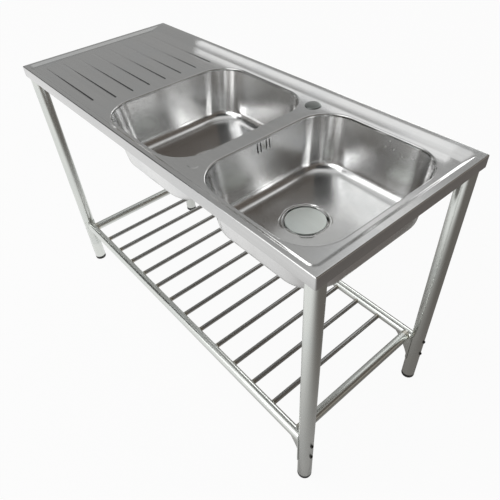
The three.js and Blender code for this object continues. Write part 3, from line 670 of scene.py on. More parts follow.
def steel(name, base, roughness, lines=900.0, stretch=0.02, turned=(0, 0, 0), relief=0.25,
          contrast=0.12, tint=(0.97, 0.985, 1.0), spread=0.0, spread_along=(0, 0, 1)):
    """Stainless steel with a drawn grain, cloudy smears and dry water spots."""
    tree, shader, place = new_material(name, 1.0, roughness, turned)
    if spread:
        feed(tree, shader["Anisotropic"], spread)
        feed(tree, shader["Tangent"], combined(tree, *spread_along))
    grain = placed(tree, "Drawn Grain", Vector=place, Lines_per_Metre=lines, Stretch=stretch)
    marks = placed(tree, "Handling Marks", Vector=place)
    line, smear, spot = grain["Line"], marks["Smear"], marks["Spot"]
    shade = maths(tree, "MULTIPLY", *(
        maths(tree, "MULTIPLY_ADD", part, contrast, 1 - contrast / 2)
        for part in (line, grain["Sweep"])
    ))
    grey = add(tree, "ShaderNodeCombineColor", dict.fromkeys(range(3), shade)).outputs[0]
    colour_now = mixed(tree, 1.0, base, grey, "MULTIPLY")
    cool = [channel * part for channel, part in zip(base, tint)]
    colour_now = mixed(tree, maths(tree, "MULTIPLY", smear, SMEAR_TINT), colour_now, cool)
    colour_now = mixed(tree, maths(tree, "MULTIPLY", spot, SPOT_TINT), colour_now, SPOT_COLOUR)
    feed(tree, shader["Base Color"], colour_now)
    rough = maths(tree, "MULTIPLY_ADD", smear, SMEAR_ROUGH, roughness - SMEAR_ROUGH / 3)
    rough = maths(tree, "MULTIPLY_ADD", line, LINE_ROUGH, rough)
    rough = maths(tree, "MULTIPLY_ADD", spot, SPOT_ROUGH, rough, clamp=True)
    feed(tree, shader["Roughness"], rough)
    bump(tree, shader, line, relief, 0.2 * MM)
    return tree, shader


def moulded(name, base, worn, roughness, scale=1400.0):
    """Moulded plastic or rubber with a pebbled skin and paler scuffs."""
    tree, shader, place = new_material(name, 0.0, roughness)
    skin = placed(tree, "Moulded Skin", Vector=place, Scale=scale)
    scuffed = mixed(tree, maths(tree, "MULTIPLY", skin["Scuff"], SCUFF_TINT), base, worn)
    feed(tree, shader["Base Color"], scuffed)
    rough = maths(tree, "MULTIPLY_ADD", skin["Scuff"], SCUFF_ROUGH, roughness, clamp=True)
    feed(tree, shader["Roughness"], rough)
    bump(tree, shader, skin["Pebble"], 0.3, 0.3 * MM)


def heated(name, base, heat, roughness, rail):
    """Tube steel with the straw tint of the welds at the rack's long rails."""
    tree, shader = steel(name, base, roughness, lines=1500.0, stretch=0.03, turned=ACROSS)
    away = maths(tree, "ABSOLUTE", split(tree, own_place(tree))["Y"])
    away = maths(tree, "ABSOLUTE", maths(tree, "SUBTRACT", away, RAIL_Y - rail))
    burn = placed(tree, "Weld Heat", Distance=away, Width=HEAT_WIDTH)
    worked = shader["Base Color"].links[0].from_socket
    tinted = mixed(tree, maths(tree, "MULTIPLY", burn["Tint"], HEAT_TINT), worked, heat)
    feed(tree, shader["Base Color"], tinted)


class SINK_OT_finishes(bpy.types.Operator):
    """Mix the finishes: steels, plastics and rubber"""

    bl_idname = "sink_unit.finishes"
    bl_label = "Finishes"

    def execute(self, context):
        tone, rail = context.scene.sink_finishes, context.scene.sink_stand.rail
        for group in (drawn_grain, handling_marks, moulded_skin, weld_heat):
            group()
        tube, tube_rough = tone.tube_steel, tone.tube_rough
        steel("Rolled Sheet", tone.sheet_steel, tone.sheet_rough, lines=1100, relief=0.18)
        steel("Satin Bowl", tone.bowl_steel, tone.bowl_rough, lines=700, stretch=0.04,
              turned=UPRIGHT, relief=0.2, spread=0.55, spread_along=(-0.05, 0.08, 1))
        steel("Leg Tube", tube, tube_rough, lines=1500, turned=UPRIGHT, relief=0.15)
        steel("Rail Tube", tube, tube_rough, lines=1500, relief=0.15)
        heated("End Rail Tube", tube, tone.heat, tube_rough, rail)
        heated("Slat Tube", tone.slat_steel, tone.heat, tube_rough + 0.05, rail)
        steel("Bracket Plate", tube, tube_rough + 0.1, stretch=0.1, turned=ACROSS)
        steel("Polished Waste", tone.polished, 0.14, lines=1400, stretch=0.3, relief=0.06,
              contrast=0.06)
        steel("Cover Disc", tone.cover, 0.55, lines=1600, relief=0.1, contrast=0.1)
        steel("Zinc Plate", tone.zinc, 0.38, lines=260, stretch=1.0, contrast=0.2, relief=0.1,
              tint=(0.9, 0.95, 1.05))
        steel("Dark Screw", tone.screw, 0.35, stretch=0.5)
        steel("Cap Metal", tone.cap, 0.22, lines=1200, stretch=0.4, relief=0.05)
        steel("Weld Bead", [channel * 0.8 for channel in tube], 0.32, lines=1200, stretch=1.0)
        moulded("Foot Plastic", tone.foot, (0.07, 0.07, 0.07), 0.45)
        moulded("Waste Plastic", tone.plastic, (0.52, 0.52, 0.51), 0.4)
        moulded("Gasket Rubber", tone.rubber, (0.08, 0.08, 0.078), 0.6, scale=900)
        return {"FINISHED"}


# ---------------------------------------------------------------- geometry node trees


def node_tree(name, inputs):
    """Geometry tree with named inputs; returns the tree and what it is given."""
    tree = bpy.data.node_groups.new(name, "GeometryNodeTree")
    for label, kind in inputs.items():
        tree.interface.new_socket(name=label, in_out="INPUT", socket_type=f"NodeSocket{kind}")
    tree.interface.new_socket(name="Geometry", in_out="OUTPUT", socket_type="NodeSocketGeometry")
    return tree, add(tree, "NodeGroupInput").outputs


def end_tree(tree, points, part, surface, **placing):
    """Ends a tree in real geometry: the part on each point, with its material."""
    inputs = {"Points": points, "Instance": part, **placing}
    put = add(tree, "GeometryNodeInstanceOnPoints", inputs)
    real = add(tree, "GeometryNodeRealizeInstances", {0: put.outputs[0]})
    painted = {"Geometry": real.outputs[0], "Material": surface}
    add(tree, "NodeGroupOutput", {0: add(tree, "GeometryNodeSetMaterial", painted).outputs[0]})
    return tree


def parts_on_points():
    """One part on each point, its Z turned to the point's facing, with a seeded change of size."""
    tree, given = node_tree("Parts on Points", {
        "Geometry": "Geometry", "Part": "Object", "Least Size": "Float", "Most Size": "Float",
        "Seed": "Int", "Finish": "Material",
    })
    part = add(tree, "GeometryNodeObjectInfo", {"Object": given["Part"]})
    named = {"Name": "facing"}
    facing = add(tree, "GeometryNodeInputNamedAttribute", named, data_type="FLOAT_VECTOR")
    aim = add(tree, "FunctionNodeAlignRotationToVector", {"Vector": facing.outputs[0]}, axis="Z")
    spread = {2: given["Least Size"], 3: given["Most Size"], "Seed": given["Seed"]}
    size = add(tree, "FunctionNodeRandomValue", spread)
    return end_tree(tree, given["Geometry"], part.outputs["Geometry"], given["Finish"],
                    Rotation=aim.outputs[0], Scale=size.outputs[1])


def slat_row():
    """A row of round slats along X whose ends are coped to two round rails."""
    tree, given = node_tree("Slat Row", {
        "Count": "Int", "First": "Vector", "Pitch": "Float", "Radius": "Float",
        "Rail Radius": "Float", "Rail Distance": "Float", "Finish": "Material",
    })
    line = add(tree, "GeometryNodeCurvePrimitiveLine", {"Start": (0, -1, 0), "End": (0, 1, 0)})
    round_section = {"Resolution": 32, "Radius": given["Radius"]}
    section = add(tree, "GeometryNodeCurvePrimitiveCircle", round_section)
    swept = {"Curve": line.outputs[0], "Profile Curve": section.outputs[0], "Fill Caps": True}
    tube = add(tree, "GeometryNodeCurveToMesh", swept)
    here = split(tree, add(tree, "GeometryNodeInputPosition").outputs[0])
    square = maths(tree, "MULTIPLY", given["Rail Radius"], given["Rail Radius"])
    height = maths(tree, "MULTIPLY", here["Z"], here["Z"])
    bite = maths(tree, "SQRT", maths(tree, "SUBTRACT", square, height))
    reach = maths(tree, "SUBTRACT", given["Rail Distance"], bite)
    end = maths(tree, "MULTIPLY", maths(tree, "SIGN", here["Y"]), reach)
    coped = {"Geometry": tube.outputs[0], "Position": combined(tree, here["X"], end, here["Z"])}
    cope = add(tree, "GeometryNodeSetPosition", coped)
    row = add(tree, "GeometryNodeMeshLine", {
        "Count": given["Count"], "Start Location": given["First"],
        "Offset": combined(tree, given["Pitch"]),
    })
    return end_tree(tree, row.outputs[0], cope.outputs[0], given["Finish"])


def run_tree(piece, tree, **values):
    """Puts a tree on a piece and sets its inputs by their identifiers."""
    modifier = piece.modifiers.new(tree.name, "NODES")
    modifier.node_group = tree
    names = {
        item.name: item.identifier for item in tree.interface.items_tree
        if item.item_type == "SOCKET" and item.in_out == "INPUT"
    }
    for label, value in values.items():
        modifier[names[label.replace("_", " ")]] = value


def scattered(name, spots, part, surface, nodes, seed, sizes=(1.0, 1.0), crease=35):
    """One piece made of a part on each spot, which is a place and the way that the part faces."""
    mesh = bpy.data.meshes.new(name)
    mesh.from_pydata([place for place, _ in spots], [], [])
    facing = mesh.attributes.new("facing", "FLOAT_VECTOR", "POINT")
    facing.data.foreach_set("vector", [value for _, way in spots for value in way])
    piece = new_object(name, mesh)
    tree = bpy.data.node_groups.get("Parts on Points") or parts_on_points()
    run_tree(piece, tree, Part=part, Least_Size=sizes[0], Most_Size=sizes[1], Seed=seed,
             Finish=bpy.data.materials[surface])
    dress(piece, surface, "stand", nodes, crease)
    bpy.data.objects.remove(part)


# ---------------------------------------------------------------- pressed top

# A narrow flat ring beside a bend keeps the shading of the flat beside it even.
SUPPORT = 0.8 * MM
# Shares of the slope's width, and of a groove's half width, that have a ring of points.
SLOPE_SHARES = (0, 0.05, 0.1, 0.16, 0.22, 0.5, 0.78, 0.84, 0.9, 0.95, 1)
GROOVE_SHARES = (1.15, 1.0, 0.88, 0.76, 0.64, 0.52, 0.4, 0.28, 0.14, 0.03)
GROOVE_STEPS, GROOVE_BAYS = 10, 8
# Inset in millimetres and share of the rise, from the oval's foot to its flat top.
OVAL_RINGS = ((-0.8, 0), (0, 0), (0.5, 0.25), (1, 0.75), (1.6, 1), (2.4, 1))
# Growth and drop in millimetres, from the field to the tap hole's edge.
TAP_HOLE_RINGS = ((1.2, 0), (0.6, 0), (0.2, 0.15), (0, 0.5))


def field_height():
    return TOP_HIGH.z - bpy.context.scene.sink_top.recess


def bowl_outline(sizes, side, grow, z, extra=0.0, stops=(), grow_y=None):
    """Outline of a bowl's opening, grown outwards; extra grows its corners alone."""
    half_x = sizes.long / 2 + grow
    half_y = sizes.wide / 2 + (grow if grow_y is None else grow_y)
    x, y = BOWL[side].x, BOWL[side].y
    return rounded_rectangle(
        x - half_x, x + half_x, y - half_y, y + half_y, sizes.corner + grow + extra, z,
        OPENING_STEPS, stops,
    )


def top_outline(top, inset, z):
    return rounded_rectangle(
        TOP_LOW.x + inset, TOP_HIGH.x - inset, TOP_LOW.y + inset, TOP_HIGH.y - inset,
        max(top.corner - inset, 0.2 * MM), z, RIM_STEPS,
    )


def rim_outline(top, share_in, grow, z):
    """Outline between the slope's upper edge (0) and its lower edge (1), grown outwards."""
    radius = top.rim_corner + (top.recess_corner - top.rim_corner) * share_in
    return rounded_rectangle(
        TOP_LOW.x + top.rim_left + top.slope_left * share_in - grow,
        TOP_HIGH.x - top.rim_right - top.slope_right * share_in + grow,
        TOP_LOW.y + top.rim_front + top.slope_front * share_in - grow,
        TOP_HIGH.y - top.rim_back - top.slope_back * share_in + grow,
        radius + grow, z, RIM_STEPS,
    )


def skirt_and_rim(skin, top):
    """Rolled lower edge, skirt, rim and slope; returns the ring round the field."""
    foot, rim = TOP_LOW.z, TOP_HIGH.z
    outlines = [top_outline(top, 2 * top.hem, foot + top.hem_height)]
    for step in range(BEND_STEPS + 1):
        angle = math.pi * step / BEND_STEPS
        inset = top.hem * (1 + math.cos(angle))
        outlines.append(top_outline(top, inset, foot + top.hem * (1 - math.sin(angle))))
    outlines += [top_outline(top, top.bend * a, rim - top.bend * b) for a, b in quarter()]
    outlines += [top_outline(top, top.bend + SUPPORT, rim), rim_outline(top, 0, SUPPORT, rim)]
    outlines += [rim_outline(top, t, 0, rim - top.recess * eased(t)) for t in SLOPE_SHARES]
    outlines.append(rim_outline(top, 1, -SUPPORT, rim - top.recess))
    return skin.sheet(outlines)[-1]


def opening_lip(skin, sizes, side, field):
    """Rounded edge turned down into an opening; returns its ring in the field."""
    outlines = [bowl_outline(sizes, side, sizes.lip + 1 * MM, field)]
    outlines += [
        bowl_outline(sizes, side, sizes.lip * b, field - sizes.lip * a) for a, b in quarter()
    ]
    outlines.append(bowl_outline(sizes, side, 0, field - sizes.lip_height))
    return skin.sheet(outlines)[0]


def drainer_groove(skin, top, sizes, number, field):
    """One groove that deepens towards the bowl; returns its ring in the field."""
    start = TOP_LOW.x + top.groove_outer
    stop = BOWL["left"].x - sizes.long / 2 - top.groove_inner
    y = BOWL["left"].y - top.groove_back + (number - (top.groove_count - 1) / 2) * top.groove_pitch
    end = stop - (top.groove_short if number == 0 else 0)
    half = top.groove_width / 2
    deepening = (top.groove_deep - top.groove_shallow) / (stop - start)
    outlines = []
    for across in GROOVE_SHARES:
        sunk = 0.0 if across > 1 else 0.5 * (1 + math.cos(math.pi * across))
        outlines.append(stadium(
            start + half, end - half, y, half * across,
            lambda x, sunk=sunk: sunk * (top.groove_shallow + deepening * (x - start)),
            field, GROOVE_STEPS, GROOVE_BAYS,
        ))
    rings = skin.sheet(outlines)
    skin.fill(rings[-1])
    return rings[0]


def pressed_oval(skin, top, field):
    """Low oval pressed up before the divider; returns its ring in the field."""
    x = (BOWL["left"].x + BOWL["right"].x) / 2
    y = TOP_LOW.y + top.oval_back
    rings = skin.sheet(
        ellipse(x, y, top.oval_length / 2 - inset * MM, top.oval_width / 2 - inset * MM,
                field + rise * top.oval_rise, 48)
        for inset, rise in OVAL_RINGS
    )
    skin.fill(rings[-1])
    return rings[0]


def tap_hole(skin, top, field):
    """Punched tap hole with a slightly drawn-in edge; returns its ring in the field."""
    place = middle("tap_hole_cap")
    return skin.sheet(
        ellipse(place.x, place.y, top.tap_hole + grow * MM, top.tap_hole + grow * MM,
                field - drop * MM, 64)
        for grow, drop in TAP_HOLE_RINGS
    )[0]


class SINK_OT_pressed_top(bpy.types.Operator):
    """Press the one-piece top with its rolled skirt, drainer grooves, oval and openings"""

    bl_idname = "sink_unit.pressed_top"
    bl_label = "Pressed Top"

    def execute(self, context):
        top, bowl, field = context.scene.sink_top, context.scene.sink_bowl, field_height()
        skin = Skin()
        edge = skirt_and_rim(skin, top)
        holes = [opening_lip(skin, bowl, side, field) for side in LEFT_RIGHT]
        holes += [pressed_oval(skin, top, field), tap_hole(skin, top, field)]
        holes += [drainer_groove(skin, top, bowl, k, field) for k in range(top.groove_count)]
        skin.fill(edge, holes)
        piece = new_object("pressed_top", skin.mesh("pressed_top"))
        thicken(piece, top.sheet)
        dress(piece, "Rolled Sheet", "stand", ["sink_deck"])
        return {"FINISHED"}


# ---------------------------------------------------------------- bowls

# Shares of the way from the floor's edge to the waste that have a ring of points.
FLOOR_SHARES = (0.06, 0.14, 0.24, 0.36, 0.5, 0.64, 0.78, 0.9)
FLOOR_BLEND = 0.45
# Growth in millimetres and share of the drop, from the floor into the ring round the waste.
SEAT_RINGS = ((0.9, 0.02), (0.3, 0.12), (0, 0.3), (-0.6, 0.75), (-0.9, 0.93), (-1.4, 1))
SEAT_BRINK = 2.5 * MM
# Shares of the wall's height under the overflow slots that have a ring of points.
WALL_SHARES = (0.3, 0.6, 0.85, 1)
FILLET_STEPS, SLOT_STEPS = 12, 10


def bowl_floor(skin, sizes, side, foot):
    """Floor that falls to the pressed ring round the waste, and the ring itself."""
    waste = WASTE[side]
    floor = field_height() - sizes.depth
    outer = [skin.points[k] for k in foot]
    rays = [math.atan2(point.y - waste.y, point.x - waste.x) for point in outer]

    def round_waste(radius, z):
        return [
            Vector((waste.x + radius * math.cos(a), waste.y + radius * math.sin(a), z))
            for a in rays
        ]

    brink = round_waste(sizes.seat + SEAT_BRINK, floor)
    outlines = [
        [point.lerp(end, t).xy.to_3d() + UP * (floor + sizes.fall * (1 - eased(t, FLOOR_BLEND)))
         for point, end in zip(outer, brink)]
        for t in FLOOR_SHARES
    ]
    outlines.append(brink)
    outlines += [
        round_waste(sizes.seat + grow * MM, floor - drop * sizes.seat_depth)
        for grow, drop in SEAT_RINGS
    ]
    outlines.append(round_waste(sizes.hole, floor - sizes.seat_depth))
    skin.band(foot, skin.sheet(outlines)[0])


def overflow_slots(skin, sizes, face, y_middle, z_middle):
    """Fills one flat piece of the left wall round its overflow slots."""
    a, b = skin.points[face[0]], skin.points[face[2]]
    lean = (b.x - a.x) / (b.z - a.z)
    radius = sizes.slot_width / 2
    half = sizes.slot_height / 2 - radius
    slots = []
    for offset in (-sizes.slot_outer, -sizes.slot_inner, sizes.slot_inner, sizes.slot_outer):
        spots = []
        for start, end in ((0, half), (180, -half)):
            for step in range(SLOT_STEPS + 1):
                angle = math.radians(start + 180 * step / SLOT_STEPS)
                z = z_middle + end + radius * math.sin(angle)
                y = y_middle + offset + radius * math.cos(angle)
                spots.append(Vector((a.x + lean * (z - a.z), y, z)))
        slots.append(skin.ring(spots))
    skin.fill(face, slots, facing=Vector((1, 0, -lean)).normalized())


def wall_inset(sizes, draft, drop, wall_top, fillet_middle):
    """How far a leaning wall has come in at some depth under its top."""
    z = wall_top - drop
    fillet_top = fillet_middle - sizes.fillet * math.sin(draft)
    if z >= fillet_top:
        return drop * math.tan(draft)
    inset = (wall_top - fillet_top) * math.tan(draft) + sizes.fillet * math.cos(draft)
    return inset - math.sqrt(max(sizes.fillet**2 - (fillet_middle - z) ** 2, 0))


def bowl_skin(sizes, side, slots):
    """One pressed bowl, from its flange down to the hole for the waste."""
    skin = Skin()
    top = high(f"bowl_{side}").z
    wall_top = top - sizes.bend
    reach = sizes.slot_outer + 4 * MM
    y_middle = middle("overflow_screw").y if slots else BOWL[side].y
    stops = (y_middle - reach, y_middle + reach)

    def outline(grow, z, **more):
        return bowl_outline(sizes, side, grow, z, stops=stops, **more)

    outlines = [
        outline(sizes.lip + sizes.flange, top), outline(sizes.setback + sizes.bend + 1 * MM, top),
    ]
    outlines += [
        outline(sizes.setback + sizes.bend * b, top - sizes.bend * a) for a, b in quarter()[:-1]
    ]
    fillet_middle = field_height() - sizes.depth + sizes.fall + sizes.fillet
    fillet_top = fillet_middle - sizes.fillet * math.sin(sizes.draft)
    slot_z = field_height() - sizes.slot_drop
    span = sizes.slot_height / 2 + 2 * MM
    above, below = slot_z + span, slot_z - span
    levels = [wall_top, above, below]
    levels += [below + (fillet_top - below) * t for t in WALL_SHARES]
    angles = [
        sizes.draft + (math.pi / 2 - sizes.draft) * step / FILLET_STEPS
        for step in range(1, FILLET_STEPS + 1)
    ]
    levels += [fillet_middle - sizes.fillet * math.sin(angle) for angle in angles]
    flange = len(outlines)
    for z in levels:
        drop = wall_top - z
        grow, grow_y = (
            sizes.setback - wall_inset(sizes, draft, drop, wall_top, fillet_middle)
            for draft in (sizes.draft, sizes.side_draft)
        )
        grown = sizes.grow * min(drop / (wall_top - fillet_top), 1)
        outlines.append(outline(grow, z, extra=grown, grow_y=grow_y))
    rings = [skin.ring(points) for points in outlines]
    upper, lower = rings[flange + 1:flange + 3]
    first = next(
        k for k, name in enumerate(upper)
        if abs(skin.points[name].y - stops[1]) < 1e-6 and skin.points[name].x < BOWL[side].x
    )
    skin.bands(rings[:flange + 2])
    skin.band(upper, lower, leave_out=first if slots else None)
    if slots:
        face = [upper[first], upper[first + 1], lower[first + 1], lower[first]]
        overflow_slots(skin, sizes, face, y_middle, slot_z)
    skin.bands(rings[flange + 2:])
    bowl_floor(skin, sizes, side, rings[-1])
    return skin


class SINK_OT_bowls(bpy.types.Operator):
    """Press both bowls, with the overflow slots in the right one"""

    bl_idname = "sink_unit.bowls"
    bl_label = "Bowls"

    def execute(self, context):
        sizes = context.scene.sink_bowl
        for side in LEFT_RIGHT:
            name = f"pressed_bowl_{side}"
            piece = new_object(name, bowl_skin(sizes, side, slots=side == "right").mesh(name))
            thicken(piece, sizes.sheet)
            dress(piece, "Satin Bowl", "stand", [f"bowl_{side}"])
        return {"FINISHED"}


# ---------------------------------------------------------------- wastes

CUP_RISE = 1.9 * MM
GRIP_STEP, GRIP_HEIGHT, BODY_DROP = 3 * MM, 9 * MM, 11.8 * MM
THREAD_TURNS, THREAD_PITCH, THREAD_DEPTH = 6, 4 * MM, 1.2 * MM
STRAINER_SHEET, STRAINER_SIDES = 0.5 * MM, 120
# Change of radius and drop in millimetres along the strainer's rolled flange and its throat.
FLANGE_RINGS, THROAT_RINGS = ((-0.6, 0.9), (0, 0.5), (-0.3, 0)), ((0.4, 0), (-0.3, 0.5))
CELL_SIDES, HOLE_ROWS, HOLE_SIDES = 3, 6, 10
# Depth of the first edge and span of all rows of holes, in shares of the strainer's height.
FIRST_ROW, ROWS_SHARE = 0.12, 0.74
# Radius in millimetres and number of holes of each ring in the strainer's floor.
FLOOR_HOLES = ((12, 10), (18, 16), (24, 21), (30, 26), (36, 32))
# Change of radius in millimetres and height in sixteenths up the strainer's knob.
KNOB_RINGS = ((0.6, 0.4), (-1.6, 1.6), (-2, 3), (-2, 9), (-1, 11), (0, 13), (0, 14.4),
              (-0.5, 15.4), (-1.6, 16), (-3.4, 16))
KNOB_SIDES = 48


def cup_corners(sizes, side):
    """Half-section of the waste cup, whose rolled flange sits in the bowl's floor."""
    foot, rim, radius = extent(f"waste_cup_{side}")
    seat = rim - CUP_RISE
    ledge = seat - sizes.ledge
    t = sizes.sheet
    return [
        (radius, seat, 0), (radius, rim, 1.2 * MM), (sizes.bore + 0.4 * MM, rim, 1.4 * MM),
        (sizes.bore, rim - 1.4 * MM, 0.4 * MM), (sizes.bore, ledge, 1 * MM),
        (sizes.inner, ledge, 1 * MM), (sizes.inner, foot + t, 4 * MM),
        (sizes.outlet, foot + t, 0.3 * MM), (sizes.outlet, foot, 0.3 * MM),
        (sizes.inner + t, foot, 4.6 * MM), (sizes.inner + t, ledge - t, 0.8 * MM),
        (sizes.bore + t, ledge - t, 1 * MM), (sizes.bore + t, seat, 0),
    ]


def body_corners(sizes, side):
    """Half-section of the plastic body: a grip ring, a plain cup and a threaded spigot."""
    foot, rim, outer = extent(f"waste_body_{side}")
    wall = outer - GRIP_STEP
    bore = wall - sizes.wall
    floor = low(f"waste_cup_{side}").z - BODY_DROP
    spigot, root = sizes.spigot, sizes.spigot - THREAD_DEPTH
    corners = [
        (bore, rim, 0.3 * MM), (outer, rim, 0.6 * MM), (outer, rim - GRIP_HEIGHT, 0.6 * MM),
        (wall, rim - GRIP_HEIGHT, 0.5 * MM), (wall, floor, 3 * MM), (spigot, floor, 1.2 * MM),
    ]
    for number in range(THREAD_TURNS, 0, -1):
        z = foot + number * THREAD_PITCH
        corners += [
            (spigot, z + THREAD_DEPTH, 0), (root, z + THREAD_DEPTH / 2, 0.3 * MM),
            (root, z - THREAD_DEPTH / 2, 0.3 * MM), (spigot, z - THREAD_DEPTH, 0),
        ]
    return corners + [
        (spigot, foot, 0.8 * MM), (spigot - sizes.wall, foot, 0.3 * MM),
        (spigot - sizes.wall, floor + sizes.wall, 2 * MM), (bore, floor + sizes.wall, 2 * MM),
    ]


class SINK_OT_wastes(bpy.types.Operator):
    """Turn the steel cups, the plastic bodies and the cover discs of both wastes"""

    bl_idname = "sink_unit.wastes"
    bl_label = "Wastes and Covers"

    def execute(self, context):
        sizes = context.scene.sink_waste
        for side in LEFT_RIGHT:
            centre = WASTE[side]
            turned_piece(f"waste_cup_spun_{side}", cup_corners(sizes, side), centre,
                         "Polished Waste", "stand", f"waste_cup_{side}")
            turned_piece(f"waste_body_moulded_{side}", body_corners(sizes, side), centre,
                         "Waste Plastic", "stand", f"waste_body_{side}", steps=3)
            foot, top, _ = extent(f"drain_cover_{side}")
            t, radius = sizes.sheet, sizes.cover
            cover = [
                (0, top, 0), (radius, top, 1.3 * MM), (radius, foot, 0.3 * MM),
                (radius - t, foot, 0.3 * MM), (radius - t, top - t, 0.8 * MM), (0, top - t, 0),
            ]
            turned_piece(f"cover_disc_{side}", cover, centre, "Cover Disc",
                         f"cover_{side}", f"drain_cover_{side}")
        return {"FINISHED"}


def strainer(sizes, side):
    """Perforated basket with a rolled flange and a knob to lift it by."""
    foot, top, flange = extent(f"strainer_basket_{side}")
    x, y, t, hole = WASTE[side].x, WASTE[side].y, sizes.sheet, sizes.perforation
    floor, height = foot + t, top - foot - t
    throat = sizes.inner - 0.3 * MM
    wall = throat - t
    skin = Skin()

    def ring(radius, z, sides=STRAINER_SIDES):
        return skin.ring(ellipse(x, y, radius, radius, z, sides))

    def radius_at(z):
        return wall - sizes.taper * (top - z) / height

    rings = [ring(flange + grow * MM, top - drop * MM) for grow, drop in FLANGE_RINGS]
    rings += [ring(throat + grow * MM, top - drop * MM) for grow, drop in THROAT_RINGS]
    shares = [FIRST_ROW + ROWS_SHARE * row / HOLE_ROWS for row in range(HOLE_ROWS + 1)]
    levels = [top - height * t for t in shares]
    upper = ring(radius_at(levels[0]), levels[0])
    skin.bands([*rings, upper])
    for row, (above, below) in enumerate(zip(levels, levels[1:]), start=1):
        lower = ring(radius_at(below), below)
        z = (above + below) / 2
        for cell in range(row % 2, STRAINER_SIDES, CELL_SIDES):
            around = [(cell + k) % STRAINER_SIDES for k in range(CELL_SIDES + 1)]
            edge = [upper[k] for k in around] + [lower[k] for k in reversed(around)]
            angle = TAU * (cell + CELL_SIDES / 2) / STRAINER_SIDES
            out = Vector((math.cos(angle), math.sin(angle), 0))
            place, sideways = Vector((x, y, z)) + out * radius_at(z), Vector((-out.y, out.x, 0))
            round_hole = [
                place + sideways * (hole * a) + UP * (hole * b) for a, b in circle(HOLE_SIDES)
            ]
            skin.fill(edge, [skin.ring(round_hole)], facing=-out)
        upper = lower
    foot_radius = wall - sizes.taper
    brink = ring(foot_radius - 1.6 * MM, floor)
    skin.bands([upper, ring(foot_radius + 0.1 * MM, floor + 1.6 * MM),
                ring(foot_radius - 0.5 * MM, floor + 0.5 * MM), brink])
    collar = ring(sizes.knob + 3 * MM, floor, KNOB_SIDES)
    holes = [collar]
    for step, (radius, number) in enumerate(FLOOR_HOLES):
        for a, b in circle(number, start=math.pi * (step % 2) / number):
            holes.append(skin.ring(ellipse(
                x + radius * MM * a, y + radius * MM * b, hole, hole, floor, HOLE_SIDES,
            )))
    skin.fill(brink, holes)
    knob = [
        ring(sizes.knob + grow * MM, floor + rise / 16 * sizes.knob_height, KNOB_SIDES)
        for grow, rise in KNOB_RINGS
    ]
    skin.bands([collar, *knob])
    skin.fill(knob[-1])
    return skin


class SINK_OT_strainers(bpy.types.Operator):
    """Press the perforated strainer baskets that lie under the covers"""

    bl_idname = "sink_unit.strainers"
    bl_label = "Strainer Baskets"

    def execute(self, context):
        for side in LEFT_RIGHT:
            name = f"strainer_pressed_{side}"
            piece = new_object(name, strainer(context.scene.sink_waste, side).mesh(name))
            thicken(piece, STRAINER_SHEET, even=False)
            dress(piece, "Polished Waste", f"basket_{side}",
                  [f"strainer_basket_{side}"])
        return {"FINISHED"}


class SINK_OT_tap_cap(bpy.types.Operator):
    """Turn the domed cap that closes the tap hole"""

    bl_idname = "sink_unit.tap_cap"
    bl_label = "Tap Hole Cap"

    def execute(self, context):
        foot, top, radius = extent("tap_hole_cap")
        field, gap = field_height(), context.scene.sink_stand.seat
        seat, stem = field + gap, context.scene.sink_top.tap_hole - gap
        corners = [
            (0, top, 0), (radius * 0.55, top - 0.15 * MM, 3 * MM),
            (radius * 0.8, top - 0.6 * MM, 2 * MM), (radius - 1 * MM, seat + 1.3 * MM, 1.2 * MM),
            (radius, seat, 0.4 * MM), (stem, seat, 0.2 * MM), (stem, foot, 0.5 * MM),
            (stem - 2 * MM, foot, 0.3 * MM), (stem - 2 * MM, field, 0.5 * MM), (0, field, 0),
        ]
        turned_piece("tap_cap_domed", corners, middle("tap_hole_cap"), "Cap Metal",
                     "tap_cap", "tap_hole_cap")
        return {"FINISHED"}


# ---------------------------------------------------------------- screws

HEAD_SIDES, HEAD_SINK = 32, 0.2 * MM
# Share of a head's height that its upright edge takes up, under the dome.
HEAD_EDGE = 0.25
OVERFLOW_RISE, OVERFLOW_LIFT = 1.9 * MM, 0.3 * MM


def cross_head(radius, rise, name):
    """Domed screw head with a cross recess, standing on its seat and facing Z."""
    dome = [(0, -HEAD_SINK), (radius, -HEAD_SINK), (radius, rise * HEAD_EDGE)]
    for angle in map(math.radians, range(12, 90, 12)):
        height = rise * (HEAD_EDGE + (1 - HEAD_EDGE) * math.sin(angle))
        dome.append((radius * math.cos(angle), height))
    head = solid_object(name, lathe(dome + [(0, rise)], sides=HEAD_SIDES))
    cutter = bmesh.new()
    blade = Matrix.Diagonal((radius * 1.25, radius * 0.27, rise, 1))
    raised = Matrix.Translation((0, 0, rise * 1.05))
    for angle in (0, math.pi / 2):
        turned = Matrix.Rotation(angle, 4, "Z")
        bmesh.ops.create_cube(cutter, size=1, matrix=raised @ turned @ blade)
    cross = solid_object("cutter", cutter)
    cut = head.modifiers.new("Recess", "BOOLEAN")
    cut.operation = "DIFFERENCE"
    cut.solver = "EXACT"
    cut.use_self = True
    cut.object = cross
    settle(head)
    bpy.data.objects.remove(cross)
    return head


class SINK_OT_leg_screws(bpy.types.Operator):
    """Set a dark dome-head screw on each seat along the legs"""

    bl_idname = "sink_unit.leg_screws"
    bl_label = "Leg Screws"

    def execute(self, context):
        stand = context.scene.sink_stand
        spots = []
        for node in SCREWS:
            outwards = 1 if middle(node).x > 0 else -1
            edge = high(node).x if outwards > 0 else low(node).x
            place = Vector((edge - outwards * stand.screw_rise, middle(node).y, middle(node).z))
            spots.append((place, (outwards, 0, 0)))
        head = cross_head(stand.screw_head, stand.screw_rise, "leg_screw_head")
        scattered("leg_screw_heads", spots, head, "Dark Screw", SCREWS, seed=3)
        return {"FINISHED"}


